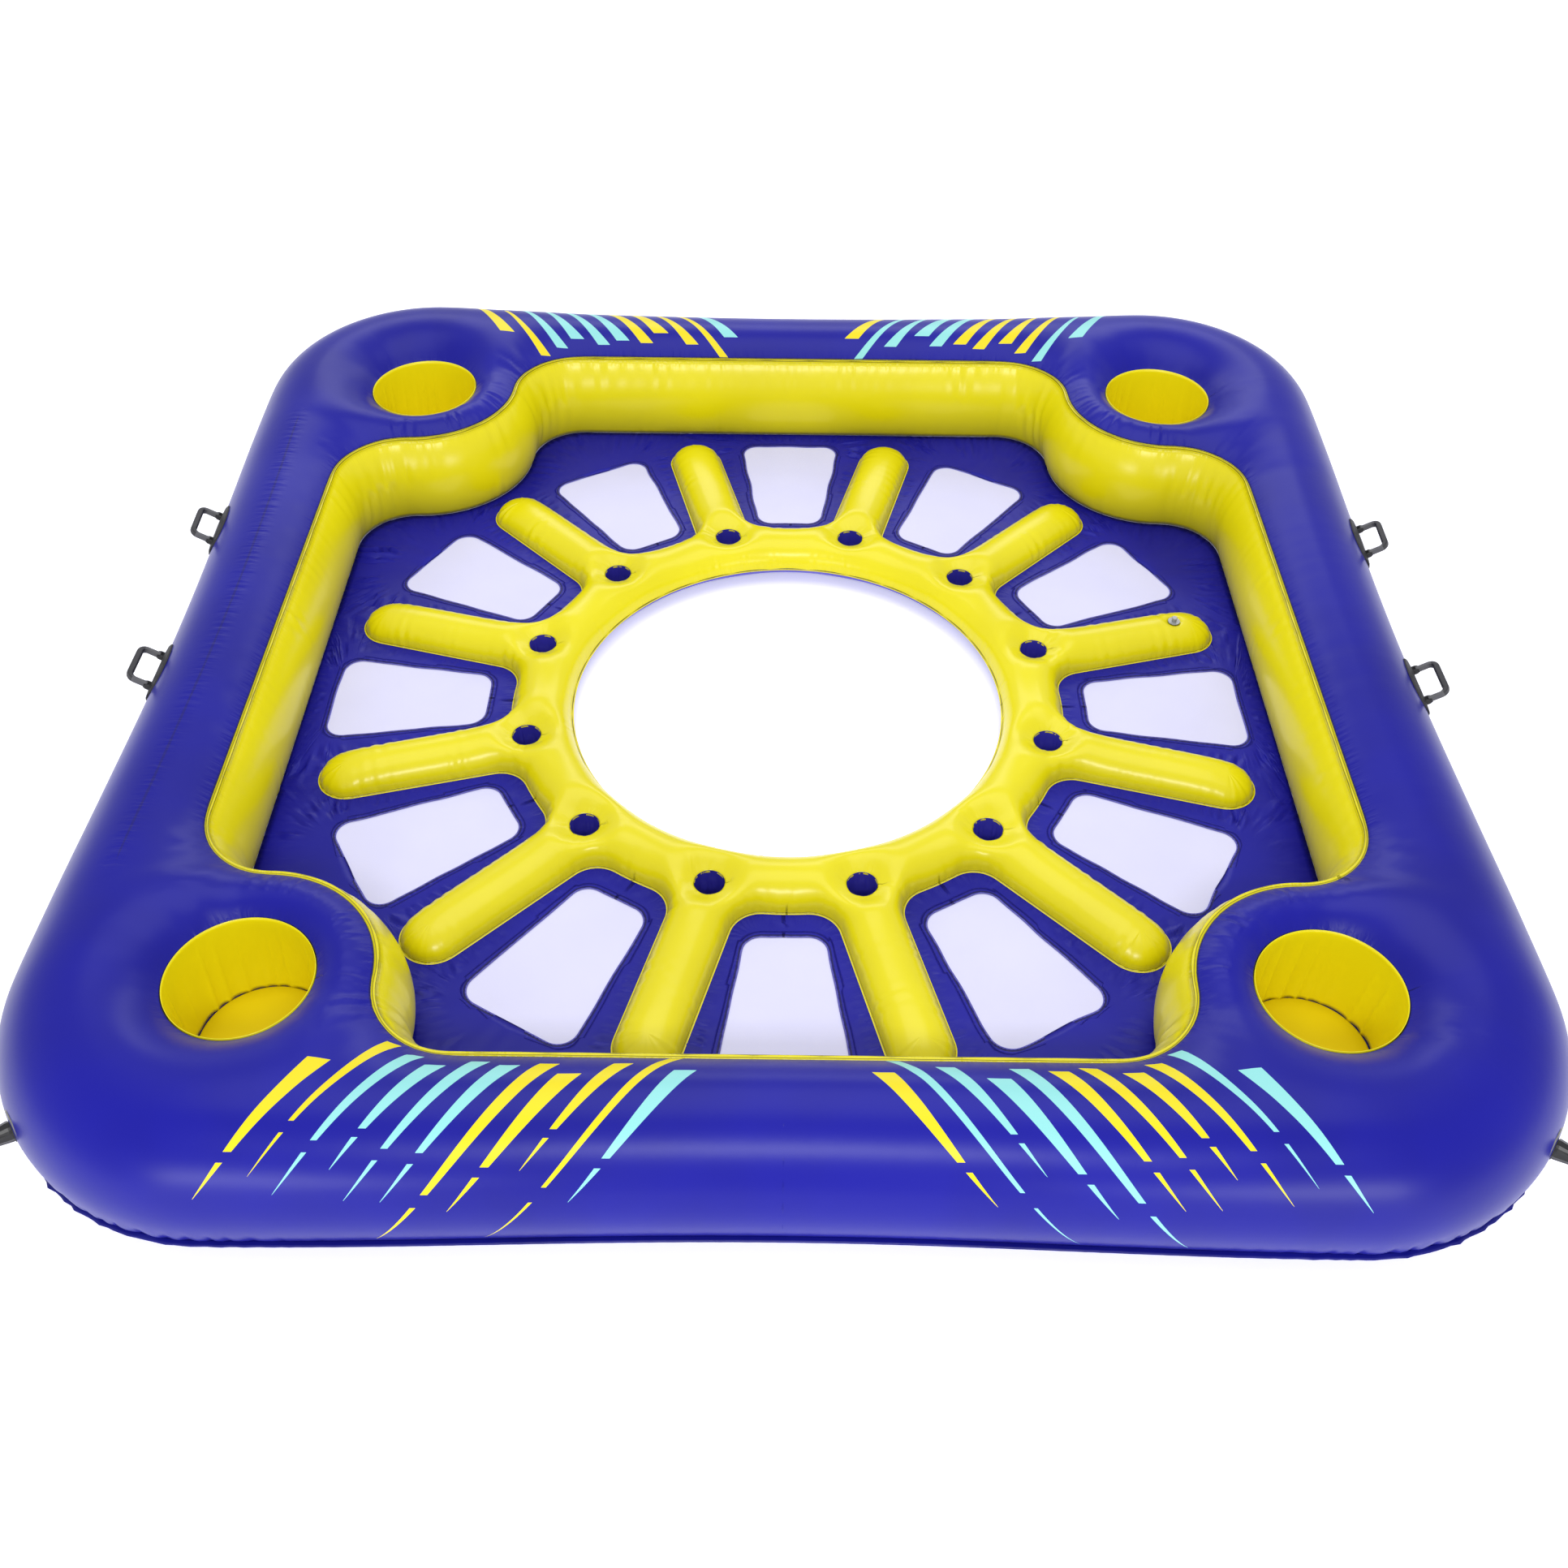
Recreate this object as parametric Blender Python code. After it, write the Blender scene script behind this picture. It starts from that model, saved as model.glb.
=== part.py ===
import math

import bmesh
import bpy
from mathutils import Matrix, Vector
from mathutils.geometry import tessellate_polygon

# Driving sizes in metres. The raft lies on z = 0 with its centre at x = y = 0.
HALF_WIDTH = 1.525          # centre to the outermost line of a side tube
CORNER_RADIUS = 0.470       # outer corner in plan, about a cooler well's axis
TUBE_RADIUS = 0.171         # the perimeter tube
CONTACT_HALF = 0.032        # half the flat strip that the tube rests on
WAIST = 0.022               # how far the middle of a side draws in
CORNER_LIFT = 0.018         # how much fuller the corners stand
NOSE_BAND = 0.119           # from a cooler's mouth to the well wall's nose round it
SHEET = 0.001               # vinyl sheet
WELD_GAP = 0.0003           # between two faces that are welded or rest on each other
PANEL_GAP = 0.0004          # between the two panels of the tube's lower skin
SEAM_LAP = 0.008            # lap of the wall under the upper sheet
FIN = 0.012                 # welded margin that stands out at the outer seam
WALL_BULGE = 0.030          # how far the well wall swells inwards
WALL_LEAN = 0.022           # how far its foot stands inside its head
FLOOR_HEIGHT = 0.045        # underside of the floor sheet

# Hub with its spokes, which end short of the wall's sides and noses
SIDE_MARGIN = 0.075         # from a spoke's tip to the line of the inner top seam
NOSE_MARGIN = 0.055         # from a spoke's tip to the foot of a nose
HUB_WIDTH = 0.145           # from the central opening to the outer weld between the spokes
HUB_CROWN = 0.100           # top of the inflated hub
HUB_DRAFT = 0.003           # its underside's height over the ground
CAN_INSET = 0.0315          # from the outer weld to a can holder's axis
CAN_RADIUS = 0.034          # mouth of a can holder
CAN_LIP = 0.009             # flat ring round the mouth
CAN_RIM = 0.068             # height of that ring
CAN_TAPER = 0.003           # the sleeve's foot is this much narrower

# Mesh windows in the floor
WINDOW_GAP = 0.067          # from the hub's outer weld to the near edge
WINDOW_END = 0.013          # how far short of the spokes' tips the far edge lies
WINDOW_NEAR_BAND = 0.0416   # floor between a near corner and the spoke beside it
WINDOW_FAR_BAND = 0.0852    # floor between a far corner and the spoke beside it
WINDOW_CORNER = 0.042       # corner radius
PANEL_MARGIN = 0.009        # mesh that is welded behind the window's edge
PANEL_SHEET = 0.0008        # mesh cloth

# Cooler wells in the corners
COOLER_RADIUS = 0.146       # mouth
COOLER_TAPER = 0.004        # the sleeve's foot is this much narrower
COOLER_LIP = 0.018          # flat ring round the mouth
COOLER_SINK = 0.071         # how far that ring lies below the corner's top
COOLER_BASE = 0.066         # height of the lower sheet under the well
COOLER_SLEEVE = 0.0012      # sleeve sheet
COOLER_FLOOR = 0.002        # floor disc with its pad
COOLER_FLOOR_GAP = 0.008    # between that disc and the sleeve
NOSE_ROLL = 0.024           # how far the roll between well and nose swells

# Grab handles on the left and right sides
PATCH_LENGTH = 0.168
PATCH_HALF = 0.043          # half width at the waist
PATCH_TIP = 0.012           # half width at a tip
PATCH_BASE = 0.004          # thickness of the rubber
PATCH_RIM = 0.003           # raised middle
GRIP_SPAN = 0.104           # between the legs' middles
GRIP_REACH = 0.046          # pin to the grip's middle
GRIP_BEND = 0.016           # radius of the bends
GRIP_WIDE = 0.0075          # half width of the bar, across the grip
GRIP_DEEP = 0.0045          # half depth of the bar
FINGER_RIDGE = 0.0022       # ridges inside the grip
FINGER_RIDGES = 4
PIN_RADIUS = 0.0026
PIN_PLAY = 0.0005           # between pin and eye
EAR_THICK = 0.0035
EAR_HALF = 0.0065
EYE_WALL = 0.0028

# Main valves at the front corners
FLANGE_RADIUS = 0.043
FLANGE_THICK = 0.0025
NECK_RADIUS = 0.0150
NECK_WALL = 0.0025
NECK_DEPTH = 0.020          # inside the tube
NECK_HEIGHT = 0.022         # outside the tube
HOLE_PLAY = 0.0006          # between the neck and the sheet's hole
INSERT_THICK = 0.004
INSERT_STEM = 0.0035
CAP_RADIUS = 0.0205         # at its foot
CAP_TOP_RADIUS = 0.0165
CAP_HEIGHT = 0.036
CAP_WALL = 0.0030
CAP_RIB = 0.0014            # height of the grip ribs
TETHER_RING = 0.0190        # outer radius of the tether's ring
TETHER_THICK = 0.0026
TETHER_TONGUE = 0.0100      # width of the tongue
TETHER_REACH = 0.030        # ring's axis to the tongue's end

# Small valve on the hub
STEM_RADIUS = 0.0060
STEM_WALL = 0.0016
STEM_LENGTH = 0.022
STEM_STAND = 0.0080         # how far the stem stands out
BASE_RADIUS = 0.0160
BASE_THICK = 0.0015
BASE_SLEEVE = 0.0012
SLIDE_PLAY = 0.0004
PLUG_RADIUS = 0.0075
PLUG_CAP = 0.0030
PLUG_PIN = 0.0070
HUB_VALVE_INSET = 0.107     # from the spoke's tip to the valve

# Angles in degrees
TUBE_ANGLES = (90.0, 69.0, 48.0, 32.0, 16.0, -4.0)
INNER_ANGLE = 135.04        # inner top seam, past the crown
SEAM_ANGLE = -24.0          # outer seam, below the tube's middle
UNDER_ANGLE = -52.0
HANDLE_ANGLE = 32.0         # where the handles sit on the tube
FACET_ANGLE = 16.0          # one facet of the tube under a handle
FILLET_ANGLE = 60.0         # where the side ends on the fillet beside a nose
VALVE_ANGLES = (-37.5, 217.5)
VALVE_ROW_ANGLES = (16.0, -4.0)
SMOOTH_ANGLE = 40.0

# Counts
SPOKES = 12
INNER_STEPS = 2
WELL_STEPS = 2
CORNER_STEPS = 6
NOSE_STEPS = 5
FILLET_STEPS = 3
TIP_STEPS = 2
BEND_STEPS = 2
CAN_SIDES = 12
COOLER_SIDES = 20
VALVE_SIDES = 16
SMALL_SIDES = 12
PIN_SIDES = 8
CAP_RIBS = 10

# Shares of the sizes above
WALL_SHARES = (0.33, 0.68)
STATION_SHARE = 0.333       # side stations and the baffles, of a straight side's half
SAG_SHARE = 0.4             # how far the lower sheet sags round a well
HUB_SHARE = 0.5957          # the hub's outer weld, of the spokes' reach
SPOKE_SHARE = 0.0609        # half the width of a spoke, of its reach
FILLET_SHARE = 0.0652       # the corner between hub and spoke, of the reach
HANDLE_SHARES = (-0.242, 0.653)     # the front and back handles, of a straight side's half
PATCH_SHARES = (-1.0, -0.86, -0.5, 0.0, 0.5, 0.86, 1.0)
PATCH_WIDTH_SHARES = (0.0, 0.55, 0.86, 1.0, 0.86, 0.55, 0.0)
PATCH_RISE_SHARES = (0.0, 0.35, 1.0, 1.0, 1.0, 0.35, 0.0)
PATCH_SHOULDER_SHARE = 0.55
EAR_TOP_SHARE = 0.5
GRIP_FOOT_SHARE = 0.62
GRIP_FACE_SHARE = 0.6
CAP_RIM_SHARE = 0.12
CAP_EDGE_SHARE = 0.1
PLUG_TAPER_SHARE = 0.8
PLUG_EDGE_SHARE = 0.6
MERGE_SHARE = 0.02

# What follows from them
TUBE_LINE = HALF_WIDTH - TUBE_RADIUS
TUBE_HEIGHT = math.sqrt(TUBE_RADIUS ** 2 - CONTACT_HALF ** 2)
WELL_HALF = TUBE_LINE + TUBE_RADIUS * math.cos(math.radians(INNER_ANGLE)) - SEAM_LAP
COOLER_OFFSET = HALF_WIDTH - CORNER_RADIUS
COOLER_FOOT_RADIUS = COOLER_RADIUS - COOLER_TAPER
COOLER_FLOOR_RADIUS = COOLER_FOOT_RADIUS - COOLER_FLOOR_GAP
COOLER_RIM = TUBE_HEIGHT + TUBE_RADIUS + CORNER_LIFT - COOLER_SINK
NOSE_RADIUS = COOLER_RADIUS + NOSE_BAND
FILLET = WELL_HALF - COOLER_OFFSET
FILLET_START = COOLER_OFFSET - NOSE_RADIUS - FILLET
STATION = FILLET_START * STATION_SHARE
CORNER_START = 0.5 * (FILLET_START + COOLER_OFFSET)
FILLET_CUT = math.radians(FILLET_ANGLE)
HANDLE_FRONT = FILLET_START * HANDLE_SHARES[0]
HANDLE_BACK = FILLET_START * HANDLE_SHARES[1]
INNER_SEAM = TUBE_HEIGHT + TUBE_RADIUS * math.sin(math.radians(INNER_ANGLE))
OUTER_SEAM = TUBE_HEIGHT + TUBE_RADIUS * math.sin(math.radians(SEAM_ANGLE))
FLOOR_TOP = FLOOR_HEIGHT + SHEET
NOSE_FOOT = math.hypot(COOLER_OFFSET, COOLER_OFFSET) - NOSE_RADIUS - WALL_LEAN
SPOKE_REACH = min(WELL_HALF - SIDE_MARGIN, NOSE_FOOT - NOSE_MARGIN)
SPOKE_HALF = SPOKE_REACH * SPOKE_SHARE
SPOKE_FILLET = SPOKE_REACH * FILLET_SHARE
HUB_RADIUS = SPOKE_REACH * HUB_SHARE
OPENING_RADIUS = HUB_RADIUS - HUB_WIDTH
CAN_CIRCLE = HUB_RADIUS - CAN_INSET
HUB_VALVE_REACH = SPOKE_REACH - HUB_VALVE_INSET
SPOKE_TURN = math.pi / SPOKES
WINDOW_INNER = HUB_RADIUS + WINDOW_GAP
WINDOW_OUTER = SPOKE_REACH - WINDOW_END
WINDOW_NEAR_LINE = WINDOW_INNER * math.sin(SPOKE_TURN) - SPOKE_HALF - WINDOW_NEAR_BAND
WINDOW_FAR_LINE = WINDOW_OUTER * math.sin(SPOKE_TURN) - SPOKE_HALF - WINDOW_FAR_BAND
WINDOW_NEAR_HALF = WINDOW_NEAR_LINE / math.cos(SPOKE_TURN)
WINDOW_FAR_HALF = WINDOW_FAR_LINE / math.cos(SPOKE_TURN)
FACET_FALL = math.tan(math.radians(0.5 * FACET_ANGLE))
EYE_RADIUS = PIN_RADIUS + PIN_PLAY + EYE_WALL
PIN_HEIGHT = PATCH_BASE + PATCH_RIM + EYE_RADIUS + WELD_GAP
MERGE = SHEET * MERGE_SHARE

CORNER_NAMES = ("back_right", "back_left", "front_left", "front_right")
COLOURS = {
    "blue_vinyl": ((0.030, 0.030, 0.380), 0.32, 0.0),
    "yellow_vinyl": ((0.760, 0.680, 0.020), 0.35, 0.0),
    "mesh_cloth": ((0.740, 0.740, 0.900), 0.75, 0.0),
    "black_rubber": ((0.020, 0.020, 0.022), 0.55, 0.0),
    "grey_rubber": ((0.110, 0.110, 0.105), 0.50, 0.0),
    "grey_plastic": ((0.300, 0.300, 0.310), 0.35, 0.0),
    "black_plastic": ((0.012, 0.012, 0.013), 0.40, 0.0),
    "clear_plastic": ((0.620, 0.640, 0.660), 0.20, 0.0),
}


def clear_scene():
    for thing in list(bpy.data.objects):
        bpy.data.objects.remove(thing, do_unlink=True)


def material(name, finish):
    """A material of its own for one sub-part, in one of the shared finishes."""
    colour, roughness, metallic = COLOURS[finish]
    made = bpy.data.materials.new(name)
    made.use_nodes = True
    shader = made.node_tree.nodes["Principled BSDF"]
    shader.inputs["Base Color"].default_value = (*colour, 1.0)
    shader.inputs["Roughness"].default_value = roughness
    shader.inputs["Metallic"].default_value = metallic
    made.diffuse_color = (*colour, 1.0)
    return made


def add_object(name, bm, finish):
    mesh = bpy.data.meshes.new(name)
    bm.normal_update()
    bm.to_mesh(mesh)
    bm.free()
    mesh.shade_smooth()
    mesh.set_sharp_from_angle(angle=math.radians(SMOOTH_ANGLE))
    mesh.materials.append(material(name, finish))
    obj = bpy.data.objects.new(name, mesh)
    bpy.context.scene.collection.objects.link(obj)
    return obj


def loft(bm, rows, closed):
    """Quads between neighbouring rows of points, each row as long as the next."""
    made = [[bm.verts.new(point) for point in row] for row in rows]
    for lower, upper in zip(made, made[1:]):
        count = len(lower)
        for i in range(count if closed else count - 1):
            j = (i + 1) % count
            bm.faces.new((lower[i], lower[j], upper[j], upper[i]))
    return made


def settle(bm, faces_out):
    """Joins the patches and turns every face to the side that faces_out picks."""
    bmesh.ops.remove_doubles(bm, verts=bm.verts, dist=MERGE)
    bmesh.ops.recalc_face_normals(bm, faces=bm.faces)
    bm.normal_update()
    if sum(faces_out(face) * face.calc_area() for face in bm.faces) < 0.0:
        bmesh.ops.reverse_faces(bm, faces=bm.faces)


def upwards(face):
    return face.normal.z


def downwards(face):
    return -face.normal.z


def towards_middle(face):
    centre = face.calc_center_median()
    return -(face.normal.x * centre.x + face.normal.y * centre.y)


def add_sheet(name, bm, finish, faces_out, thickness=SHEET):
    """A vinyl sheet whose outer face is the modelled surface."""
    settle(bm, faces_out)
    sheet = add_object(name, bm, finish)
    solid = sheet.modifiers.new("Thickness", "SOLIDIFY")
    solid.thickness = thickness
    solid.offset = -1.0
    solid.use_even_offset = True
    return sheet


def cut(obj, cutter):
    cutter.hide_render = True
    cutter.display_type = "WIRE"
    knife = obj.modifiers.new("Cut", "BOOLEAN")
    knife.operation = "DIFFERENCE"
    knife.solver = "EXACT"
    knife.object = cutter


def join_solid(obj, tool):
    tool.hide_render = True
    tool.display_type = "WIRE"
    joiner = obj.modifiers.new("Join", "BOOLEAN")
    joiner.operation = "UNION"
    joiner.solver = "EXACT"
    joiner.object = tool


def turned(bm, profile, sides, start=0.0):
    """A closed turned body: profile holds (radius, height) pairs, and a radius of zero is a pole."""
    rows = []
    for radius, height in profile:
        row = []
        for i in range(sides):
            angle = start + 2.0 * math.pi * i / sides
            row.append(Vector((radius * math.cos(angle), radius * math.sin(angle), height)))
        rows.append(row)
    loft(bm, rows, closed=True)
    bmesh.ops.remove_doubles(bm, verts=bm.verts, dist=MERGE)
    bmesh.ops.recalc_face_normals(bm, faces=bm.faces)


def turn_plan(point, quarter):
    """Turns a point by whole quarters about the raft's axis."""
    return Matrix.Rotation(0.5 * math.pi * quarter, 3, "Z") @ Vector(point)


def waist(along):
    """How far a side draws in at this distance from its middle."""
    return WAIST * math.cos(0.5 * math.pi * min(abs(along) / COOLER_OFFSET, 1.0)) ** 2


def side_stations(quarter):
    """Stations along one side. The sides with handles have one at each patch's ends."""
    ends = (-FILLET_START, FILLET_START)
    if quarter % 2:
        return [ends[0], -STATION, STATION, ends[1]]
    sign = 1.0 if quarter == 0 else -1.0
    places = []
    for middle in (HANDLE_FRONT, HANDLE_BACK):
        places += [sign * middle - 0.5 * PATCH_LENGTH, sign * middle + 0.5 * PATCH_LENGTH]
    return [ends[0]] + sorted(places) + [ends[1]]


def fillet_point(angle):
    """The inner top seam on the fillet beside a cooler's nose, and its outward direction."""
    out = Vector((math.cos(angle), math.sin(angle), 0.0))
    return Vector((COOLER_OFFSET, FILLET_START, 0.0)) + out * FILLET, out


def side_lines(quarter):
    """Pairs of (crown point, outward direction, seam point, seam direction, lift) along a side."""
    lines = []
    first_seam, first_out = fillet_point(FILLET_CUT)
    right = Vector((1.0, 0.0, 0.0))
    lift = CORNER_LIFT * 0.5
    lines.append((
        Vector((TUBE_LINE - waist(CORNER_START), -CORNER_START, 0.0)), right,
        Vector((first_seam.x, -first_seam.y, 0.0)), Vector((first_out.x, -first_out.y, 0.0)), lift,
    ))
    for along in side_stations(quarter):
        lines.append((
            Vector((TUBE_LINE - waist(along), along, 0.0)), right,
            Vector((WELL_HALF, along, 0.0)), right, 0.0,
        ))
    lines.append((
        Vector((TUBE_LINE - waist(CORNER_START), CORNER_START, 0.0)), right,
        first_seam, first_out, lift,
    ))
    return [
        (turn_plan(a, quarter), turn_plan(b, quarter), turn_plan(c, quarter), turn_plan(d, quarter), e)
        for a, b, c, d, e in lines
    ]


def corner_crown(quarter):
    """Crown points round a corner, from the side line's end to the next side's start."""
    right, back = Vector((1.0, 0.0, 0.0)), Vector((0.0, 1.0, 0.0))
    inset = TUBE_LINE - waist(CORNER_START)
    lines = [(Vector((inset, CORNER_START, 0.0)), right, 0.5 * CORNER_LIFT)]
    centre = Vector((COOLER_OFFSET, COOLER_OFFSET, 0.0))
    radius = CORNER_RADIUS - TUBE_RADIUS
    for i in range(CORNER_STEPS + 1):
        angle = 0.5 * math.pi * i / CORNER_STEPS
        out = Vector((math.cos(angle), math.sin(angle), 0.0))
        lines.append((centre + out * radius, out, CORNER_LIFT))
    lines.append((Vector((CORNER_START, inset, 0.0)), back, 0.5 * CORNER_LIFT))
    return [(turn_plan(a, quarter), turn_plan(b, quarter), c) for a, b, c in lines]


def corner_seam(quarter):
    """Inner seam points and outward directions past a cooler's nose, in the same sense."""
    lines = [fillet_point(FILLET_CUT)]
    centre = Vector((COOLER_OFFSET, COOLER_OFFSET, 0.0))
    for i in range(NOSE_STEPS + 1):
        angle = math.radians(270.0) - 0.5 * math.pi * i / NOSE_STEPS
        ray = Vector((math.cos(angle), math.sin(angle), 0.0))
        lines.append((centre + ray * NOSE_RADIUS, -ray))
    last, out = fillet_point(FILLET_CUT)
    lines.append((Vector((last.y, last.x, 0.0)), Vector((out.y, out.x, 0.0))))
    return [(turn_plan(a, quarter), turn_plan(b, quarter)) for a, b in lines]


def perimeter():
    """Crown points all round the raft."""
    lines = []
    for quarter in range(4):
        lines += [(a, b, e) for a, b, _, _, e in side_lines(quarter)[:-1]]
        lines += corner_crown(quarter)[:-1]
    return lines


def seam_line():
    """Inner seam points all round the well."""
    lines = []
    for quarter in range(4):
        lines += [(c, d) for _, _, c, d, _ in side_lines(quarter)[:-1]]
        lines += corner_seam(quarter)[:-1]
    return lines


def tube_point(crown, out, lift, degrees, height=None):
    """A point of the tube's skin at an angle above the horizontal."""
    angle = math.radians(degrees)
    rise = (TUBE_RADIUS + max(math.sin(angle), 0.0) * lift) * math.sin(angle)
    point = crown + out * (TUBE_RADIUS * math.cos(angle))
    point.z = TUBE_HEIGHT + rise if height is None else height
    return point


def inner_row(line, step):
    """A point of the upper sheet between the crown and the inner seam."""
    crown, out, seam, seam_out, lift = line
    share = step / INNER_STEPS
    angle = math.radians(90.0 + (INNER_ANGLE - 90.0) * share)
    full = (TUBE_RADIUS * math.cos(angle)) / (TUBE_RADIUS * math.cos(math.radians(INNER_ANGLE)))
    point = crown.lerp(seam + seam_out * SEAM_LAP, full)
    point.z = TUBE_HEIGHT + (TUBE_RADIUS + lift * (1.0 - share)) * math.sin(angle)
    return point


def ring_round(points, centre, radius, height):
    """As many points on a circle as the boundary has, spread by its length."""
    lengths = [0.0]
    for a, b in zip(points, points[1:] + points[:1]):
        lengths.append(lengths[-1] + (Vector((b.x, b.y)) - Vector((a.x, a.y))).length)
    start = math.atan2(points[0].y - centre.y, points[0].x - centre.x)
    ring = []
    for length in lengths[:-1]:
        angle = start + 2.0 * math.pi * length / lengths[-1]
        ring.append(Vector((
            centre.x + radius * math.cos(angle), centre.y + radius * math.sin(angle), height,
        )))
    return ring


def well_patch(bm, boundary, swell, centre, radius, lip, height, rows):
    """Skin from a corner's boundary down to a flat lip round a well, or a flat disc if lip is zero."""
    inner = ring_round(boundary, centre, radius + lip, height)
    loops = []
    for step in range(rows + 1):
        share = step / rows
        loop = []
        for near, far, extra in zip(inner, boundary, swell):
            point = near.lerp(far, share)
            rise = math.sin(0.5 * math.pi * share) if far.z > near.z else 1.0 - math.cos(0.5 * math.pi * share)
            point.z = near.z + (far.z - near.z) * rise + extra * math.sin(math.pi * share)
            loop.append(point)
        loops.append(loop)
    if lip:
        loops.insert(0, ring_round(boundary, centre, radius, height))
    made = loft(bm, loops, closed=True)
    if not lip:
        bm.faces.new(made[0])


def upper_boundary(quarter):
    """Boundary of a corner's upper patch, anticlockwise about the cooler's axis, with its swell."""
    crown = [tube_point(a, b, lift, 90.0) for a, b, lift in corner_crown(quarter)]
    next_line = side_lines((quarter + 1) % 4)[0]
    this_line = side_lines(quarter)[-1]
    far_side = [inner_row(next_line, step) for step in range(1, INNER_STEPS)]
    near_side = [inner_row(this_line, step) for step in range(INNER_STEPS - 1, 0, -1)]
    seam = []
    for point, out in reversed(corner_seam(quarter)):
        place = point + out * SEAM_LAP
        place.z = INNER_SEAM
        seam.append(place)
    side_swell = [NOSE_ROLL * step / INNER_STEPS for step in range(1, INNER_STEPS)]
    points = crown + far_side + seam + near_side
    swell = [0.0] * len(crown) + side_swell + [NOSE_ROLL] * len(seam) + side_swell[::-1]
    return points, swell


def cooler_centre(quarter):
    return turn_plan((COOLER_OFFSET, COOLER_OFFSET, 0.0), quarter)


def valve_frame(angle):
    """Place and axes of a main valve: the middle of a flat facet of the corner's skin."""
    centre = Vector((math.copysign(COOLER_OFFSET, math.cos(angle)), -COOLER_OFFSET, 0.0))
    ray = Vector((math.cos(angle), math.sin(angle), 0.0))
    half_step = math.cos(0.25 * math.pi / CORNER_STEPS)
    crown = ray * (CORNER_RADIUS - TUBE_RADIUS)
    high, low = (tube_point(crown, ray, CORNER_LIFT, rise) for rise in VALVE_ROW_ANGLES)
    middle = 0.5 * (high + low)
    fall = (low - high).dot(ray) * half_step
    normal = (ray * (high.z - low.z) + Vector((0.0, 0.0, fall))).normalized()
    place = centre + ray * (middle.dot(ray) * half_step) + Vector((0.0, 0.0, middle.z))
    side = Vector((0.0, 0.0, 1.0)).cross(normal).normalized()
    up = normal.cross(side)
    return Matrix((
        (side.x, up.x, normal.x, place.x),
        (side.y, up.y, normal.y, place.y),
        (side.z, up.z, normal.z, place.z),
        (0.0, 0.0, 0.0, 1.0),
    ))


def valve_frames():
    return [valve_frame(math.radians(angle)) for angle in VALVE_ANGLES]


def add_turned(name, profile, sides, finish, frame):
    bm = bmesh.new()
    turned(bm, profile, sides)
    obj = add_object(name, bm, finish)
    obj.matrix_world = frame
    return obj


def ring_upper():
    bm = bmesh.new()
    lines = perimeter()
    rows = [[tube_point(a, b, lift, angle) for a, b, lift in lines] for angle in TUBE_ANGLES]
    root = OUTER_SEAM + 0.5 * WELD_GAP + SHEET
    rows.append([tube_point(a, b, lift, SEAM_ANGLE, root) for a, b, lift in lines])
    rows.append([point + out * FIN for point, (_, out, _) in zip(rows[-1], lines)])
    loft(bm, rows, closed=True)
    for quarter in range(4):
        side = side_lines(quarter)
        loft(bm, [[inner_row(line, step) for line in side] for step in range(INNER_STEPS + 1)], closed=False)
        boundary, swell = upper_boundary(quarter)
        well_patch(
            bm, boundary, swell, cooler_centre(quarter), COOLER_RADIUS, COOLER_LIP, COOLER_RIM, WELL_STEPS,
        )
    seam = seam_line()
    lap = [point + out * SEAM_LAP + Vector((0.0, 0.0, INNER_SEAM)) for point, out in seam]
    edge = [point + Vector((0.0, 0.0, INNER_SEAM)) for point, _ in seam]
    loft(bm, [lap, edge], closed=True)
    sheet = add_sheet("ring_upper_sheet", bm, "blue_vinyl", upwards)
    for side, frame in zip(("right", "left"), valve_frames()):
        hole = NECK_RADIUS + HOLE_PLAY
        span = NECK_DEPTH
        drill = add_turned(
            "valve_drill_" + side, [(0.0, -span), (hole, -span), (hole, span), (0.0, span)],
            VALVE_SIDES, "blue_vinyl", frame,
        )
        cut(sheet, drill)


def under_row(line, step):
    """Lower sheet between the contact strip and the floor seam."""
    crown, out, seam, seam_out, _ = line
    foot = seam - seam_out * WALL_LEAN
    root = FLOOR_HEIGHT - WELD_GAP - SHEET
    start = crown - out * CONTACT_HALF
    share = step / 2.0
    point = start.lerp(foot, share)
    point.z = root * (1.0 - math.cos(0.5 * math.pi * share))
    return point


def panel_end(quarter, way):
    """The line at the middle of a side, where a panel of the lower skin begins (1) or ends (-1)."""
    along = 0.5 * PANEL_GAP * way
    right = turn_plan((1.0, 0.0, 0.0), quarter)
    crown = turn_plan((TUBE_LINE - waist(0.0), along, 0.0), quarter)
    return crown, right, turn_plan((WELL_HALF, along, 0.0), quarter), right, 0.0


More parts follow.
